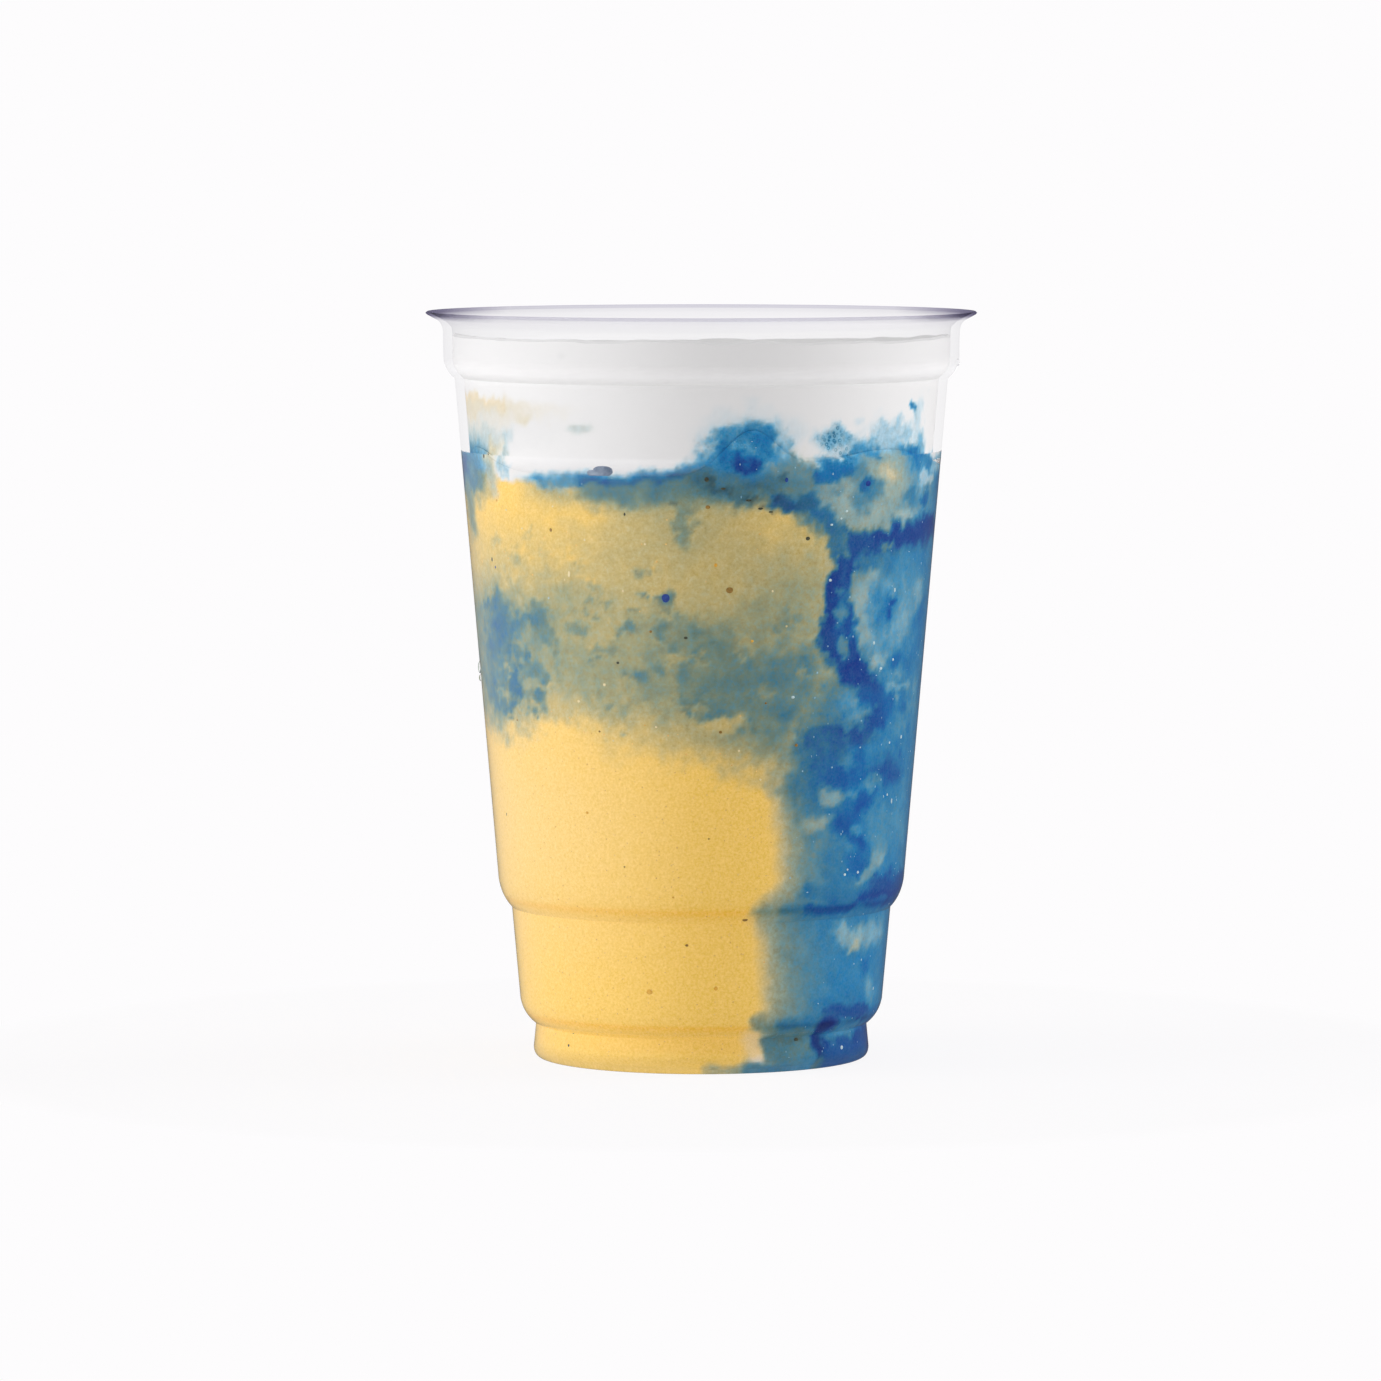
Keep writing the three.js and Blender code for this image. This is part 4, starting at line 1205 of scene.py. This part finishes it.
def strewing(name, material):
    """A node group that strews flattened specks over a surface where an attribute is high."""
    tree = bpy.data.node_groups.new(name, "GeometryNodeTree")
    kinds = {
        "Geometry": "Geometry", "Density": "Float", "Smallest": "Vector", "Largest": "Vector", "Seed": "Int",
    }
    for label, kind in kinds.items():
        tree.interface.new_socket(label, in_out="INPUT", socket_type=f"NodeSocket{kind}")
    tree.interface.new_socket("Geometry", in_out="OUTPUT", socket_type="NodeSocketGeometry")
    given = Wire(tree).node("NodeGroupInput", output="Geometry")
    where = given.node(
        "GeometryNodeInputNamedAttribute", {"data_type": "FLOAT"}, {"Name": "strewn"}, "Attribute",
    )
    points = given.node("GeometryNodeDistributePointsOnFaces", None, {
        "Mesh": given, "Density": given.beside("Density") * where, "Seed": given.beside("Seed"),
    }, "Points")
    size = given.node("FunctionNodeRandomValue", {"data_type": "FLOAT_VECTOR"}, {
        "Min": given.beside("Smallest"), "Max": given.beside("Largest"), "Seed": given.beside("Seed"),
    })
    speck = given.node("GeometryNodeMeshUVSphere", None, {
        "Segments": FLECK_SEGMENTS, "Rings": FLECK_RINGS, "Radius": 1.0,
    }, "Mesh")
    placed = given.node("GeometryNodeInstanceOnPoints", None, {
        "Points": points, "Instance": speck, "Rotation": points.beside("Rotation"), "Scale": size,
    })
    solid = given.node("GeometryNodeRealizeInstances", None, {"Geometry": placed})
    smooth = given.node("GeometryNodeSetShadeSmooth", None, {"Geometry": solid})
    covered = given.node("GeometryNodeSetMaterial", None, {"Geometry": smooth, "Material": material})
    given.node("NodeGroupOutput", None, {"Geometry": covered})
    return tree


def strewn(name, carrier, material, thickness, values):
    """Strews specks over the wall side of a piece; thickness turns its marbling into a share, which
    thins out the density. The density is in specks a square metre, and sizes are in metres."""
    source = bpy.data.objects.new(name + "_source", carrier.data.copy())
    bpy.context.scene.collection.objects.link(source)
    mesh = source.data
    x, y, z = places_of(mesh).T
    wall_radius = np.interp(z, wall_face[:, 1], wall_face[:, 0]) + INTO_WALL
    at_wall = (np.hypot(x, y) > wall_radius - WALL_CLOSENESS) & (z > LOWEST_FLECK)
    amounts = {}
    for key in ("blue", "grain"):
        amounts[key] = np.empty(len(z))
        mesh.attributes[key].data.foreach_get("value", amounts[key])
    share = np.where(at_wall, np.clip(thickness(amounts), 0, 1), 0.0)
    mesh.attributes.new("strewn", "FLOAT", "POINT").data.foreach_set("value", share.astype(np.float32))
    tree = strewing(name, material)
    modifier = source.modifiers.new("strewn", "NODES")
    modifier.node_group = tree
    for item in tree.interface.items_tree:
        if item.in_out == "INPUT" and item.name in values:
            modifier[item.identifier] = values[item.name]
    source.update_tag()
    depsgraph = bpy.context.evaluated_depsgraph_get()
    shape = bpy.data.meshes.new_from_object(source.evaluated_get(depsgraph))
    source.modifiers.clear()
    bpy.data.objects.remove(source)
    for key in ("strewn", "blue", "milk", "grain"):
        if key in shape.attributes:
            shape.attributes.remove(shape.attributes[key])
    shape.name = name
    made = stood(name, shape, 80)
    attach(made, "root")
    return made


ice = bit_material("ice and air", paint(96, 156, 190), paint(178, 208, 220), 0.5, 0.18)
strewn("blue_grains", spirulina, ice, lambda amounts: amounts["grain"] * 1.5 - 0.3, {
    "Density": 62000.0, "Seed": 4,
    "Smallest": (0.00006, 0.00006, 0.00004), "Largest": (0.00020, 0.00024, 0.00008),
})
fibre = bit_material("mango fibre", paint(206, 146, 52), paint(252, 218, 140), 0.3, 0.4)
strewn("mango_fibres", mango, fibre, lambda amounts: 1 - amounts["blue"] * 3.0, {
    "Density": 160000.0, "Seed": 11,
    "Smallest": (0.00005, 0.00005, 0.00003), "Largest": (0.00018, 0.00018, 0.00006),
})


# A few drops of clear water hang on the outside of the cup, where it was splashed. Each is a flat
# dome that bends what is seen through it.
def water():
    """Clear water, which casts almost no shadow."""
    material, place = blank("water")
    drop = bending(place, (0.99, 0.99, 0.99), 1.33, 3.0, 0.02)
    in_shadow = place.node("ShaderNodeLightPath", output="Is Shadow Ray")
    return finished(material, in_shadow.blended(drop, clear(place, 0.98, 0.98, 0.98)))


outer_face = np.array(outer_wall)
bits("drops", water(), 0.34, 0.06, [
    (-91, 66.6, 0.9, 1.1), (-90, 64.8, 0.6, 0.6), (-104, 52, 0.7, 0.9), (93, 119.2, 0.5, 0.6),
    (138, 84, 0.8, 1), (-150, 70, 0.8, 0.9),
], outer_face)


# The cup stands on a pale matt table, which fades into the backdrop a little way off. One large
# soft light stands at each side of it, with its middle well above the rim.
table_reach = 1.2
table_mesh = bpy.data.meshes.new("table")
table_corners = [(x * table_reach, y * table_reach, 0) for x, y in ((-1, -1), (1, -1), (1, 1), (-1, 1))]
table_mesh.from_pydata(table_corners, [], [(0, 1, 2, 3)])
table = stood("table", table_mesh)
backdrop = (*paint(253, 252, 253), 1.0)
table_material, on_table = blank("pale table")
from_cup = on_table.node("ShaderNodeVectorMath", {"operation": "LENGTH"}, {"Vector": on_table}, "Value")
table_fade = ((from_cup - 0.024) * 9.0).within(0.90, 1.0)
table_matt = on_table.node("ShaderNodeBsdfDiffuse", None, {"Color": (0.9, 0.9, 0.9, 1.0)})
table_glow = on_table.node("ShaderNodeEmission", None, {"Color": backdrop, "Strength": 1.0})
table.data.materials.append(finished(table_material, table_fade.blended(table_matt, table_glow)))
table.visible_glossy = False


light_away = 1.1
light_height = 0.35
cup_middle = Vector((0, 0, 0.065))


def soft_light(name, turn, power):
    """A soft box that faces the cup from a number of degrees round from the front."""
    lamp = bpy.data.lights.new(name, "AREA")
    lamp.shape = "RECTANGLE"
    lamp.size = 0.7
    lamp.size_y = 0.9
    lamp.energy = power
    made = bpy.data.objects.new(name, lamp)
    angle = math.radians(turn)
    made.location = (light_away * math.sin(angle), -light_away * math.cos(angle), light_height)
    towards_cup = cup_middle - made.location
    made.rotation_euler = towards_cup.to_track_quat("-Z", "Y").to_euler()
    made.visible_glossy = False
    made.visible_transmission = False
    bpy.context.scene.collection.objects.link(made)


soft_light("left_light", -80, 7.3)
soft_light("right_light", 100, 8.4)

# Around stands a pale room. The cup mirrors a bright screen at its left and a faint one behind.
world = bpy.data.worlds.new("studio")
world.use_nodes = True
world.node_tree.nodes.clear()
bpy.context.scene.world = world
sky = Wire(world.node_tree)
outward = sky.node("ShaderNodeTexCoord", output="Generated")
towards = sky.node("ShaderNodeSeparateXYZ", None, {"Vector": outward}, "X")
to_back = towards.beside("Y")
upward = towards.beside("Z")
screen_at_left = 0.06 - towards
screen_behind = (to_back - 0.86 - towards.absolute() * 1.2) * 2.0
sheen = screen_at_left.maths("MAXIMUM", screen_at_left, screen_behind).within(0.10, 1.25)
room = (upward * 0.5 + 0.5).ramp([(0.55, (0.86, 0.86, 0.86)), (0.80, (0.64, 0.64, 0.65))])
through = (upward * 0.5 + 0.5).ramp([(0.74, (0.96, 0.96, 0.97)), (0.92, (0.42, 0.40, 0.52))])


def kept_for(ray, before, sockets):
    """Light from around for one kind of ray, over the light for all other rays."""
    light = sky.node("ShaderNodeBackground", None, sockets)
    return sky.node("ShaderNodeLightPath", output=ray).blended(before, light)


sky_light = sky.node("ShaderNodeBackground", None, {"Color": room})
sky_light = kept_for("Is Glossy Ray", sky_light, {"Color": (1.0, 1.0, 1.0, 1.0), "Strength": sheen})
sky_light = kept_for("Is Transmission Ray", sky_light, {"Color": through})
sky_light = kept_for("Is Camera Ray", sky_light, {"Color": backdrop})
sky.node("ShaderNodeOutputWorld", None, {"Surface": sky_light})
bpy.context.scene.view_settings.view_transform = "Standard"

# The camera stands 1.4 m away and a little above the rim.
lens = bpy.data.cameras.new("camera")
lens.sensor_width = 36.0
lens.lens = 216.4
camera = bpy.data.objects.new("camera", lens)
camera.location = (-0.00186, -1.431, 0.1658)
camera.rotation_euler = (math.radians(85.91), 0, 0)
bpy.context.scene.collection.objects.link(camera)
bpy.context.scene.camera = camera
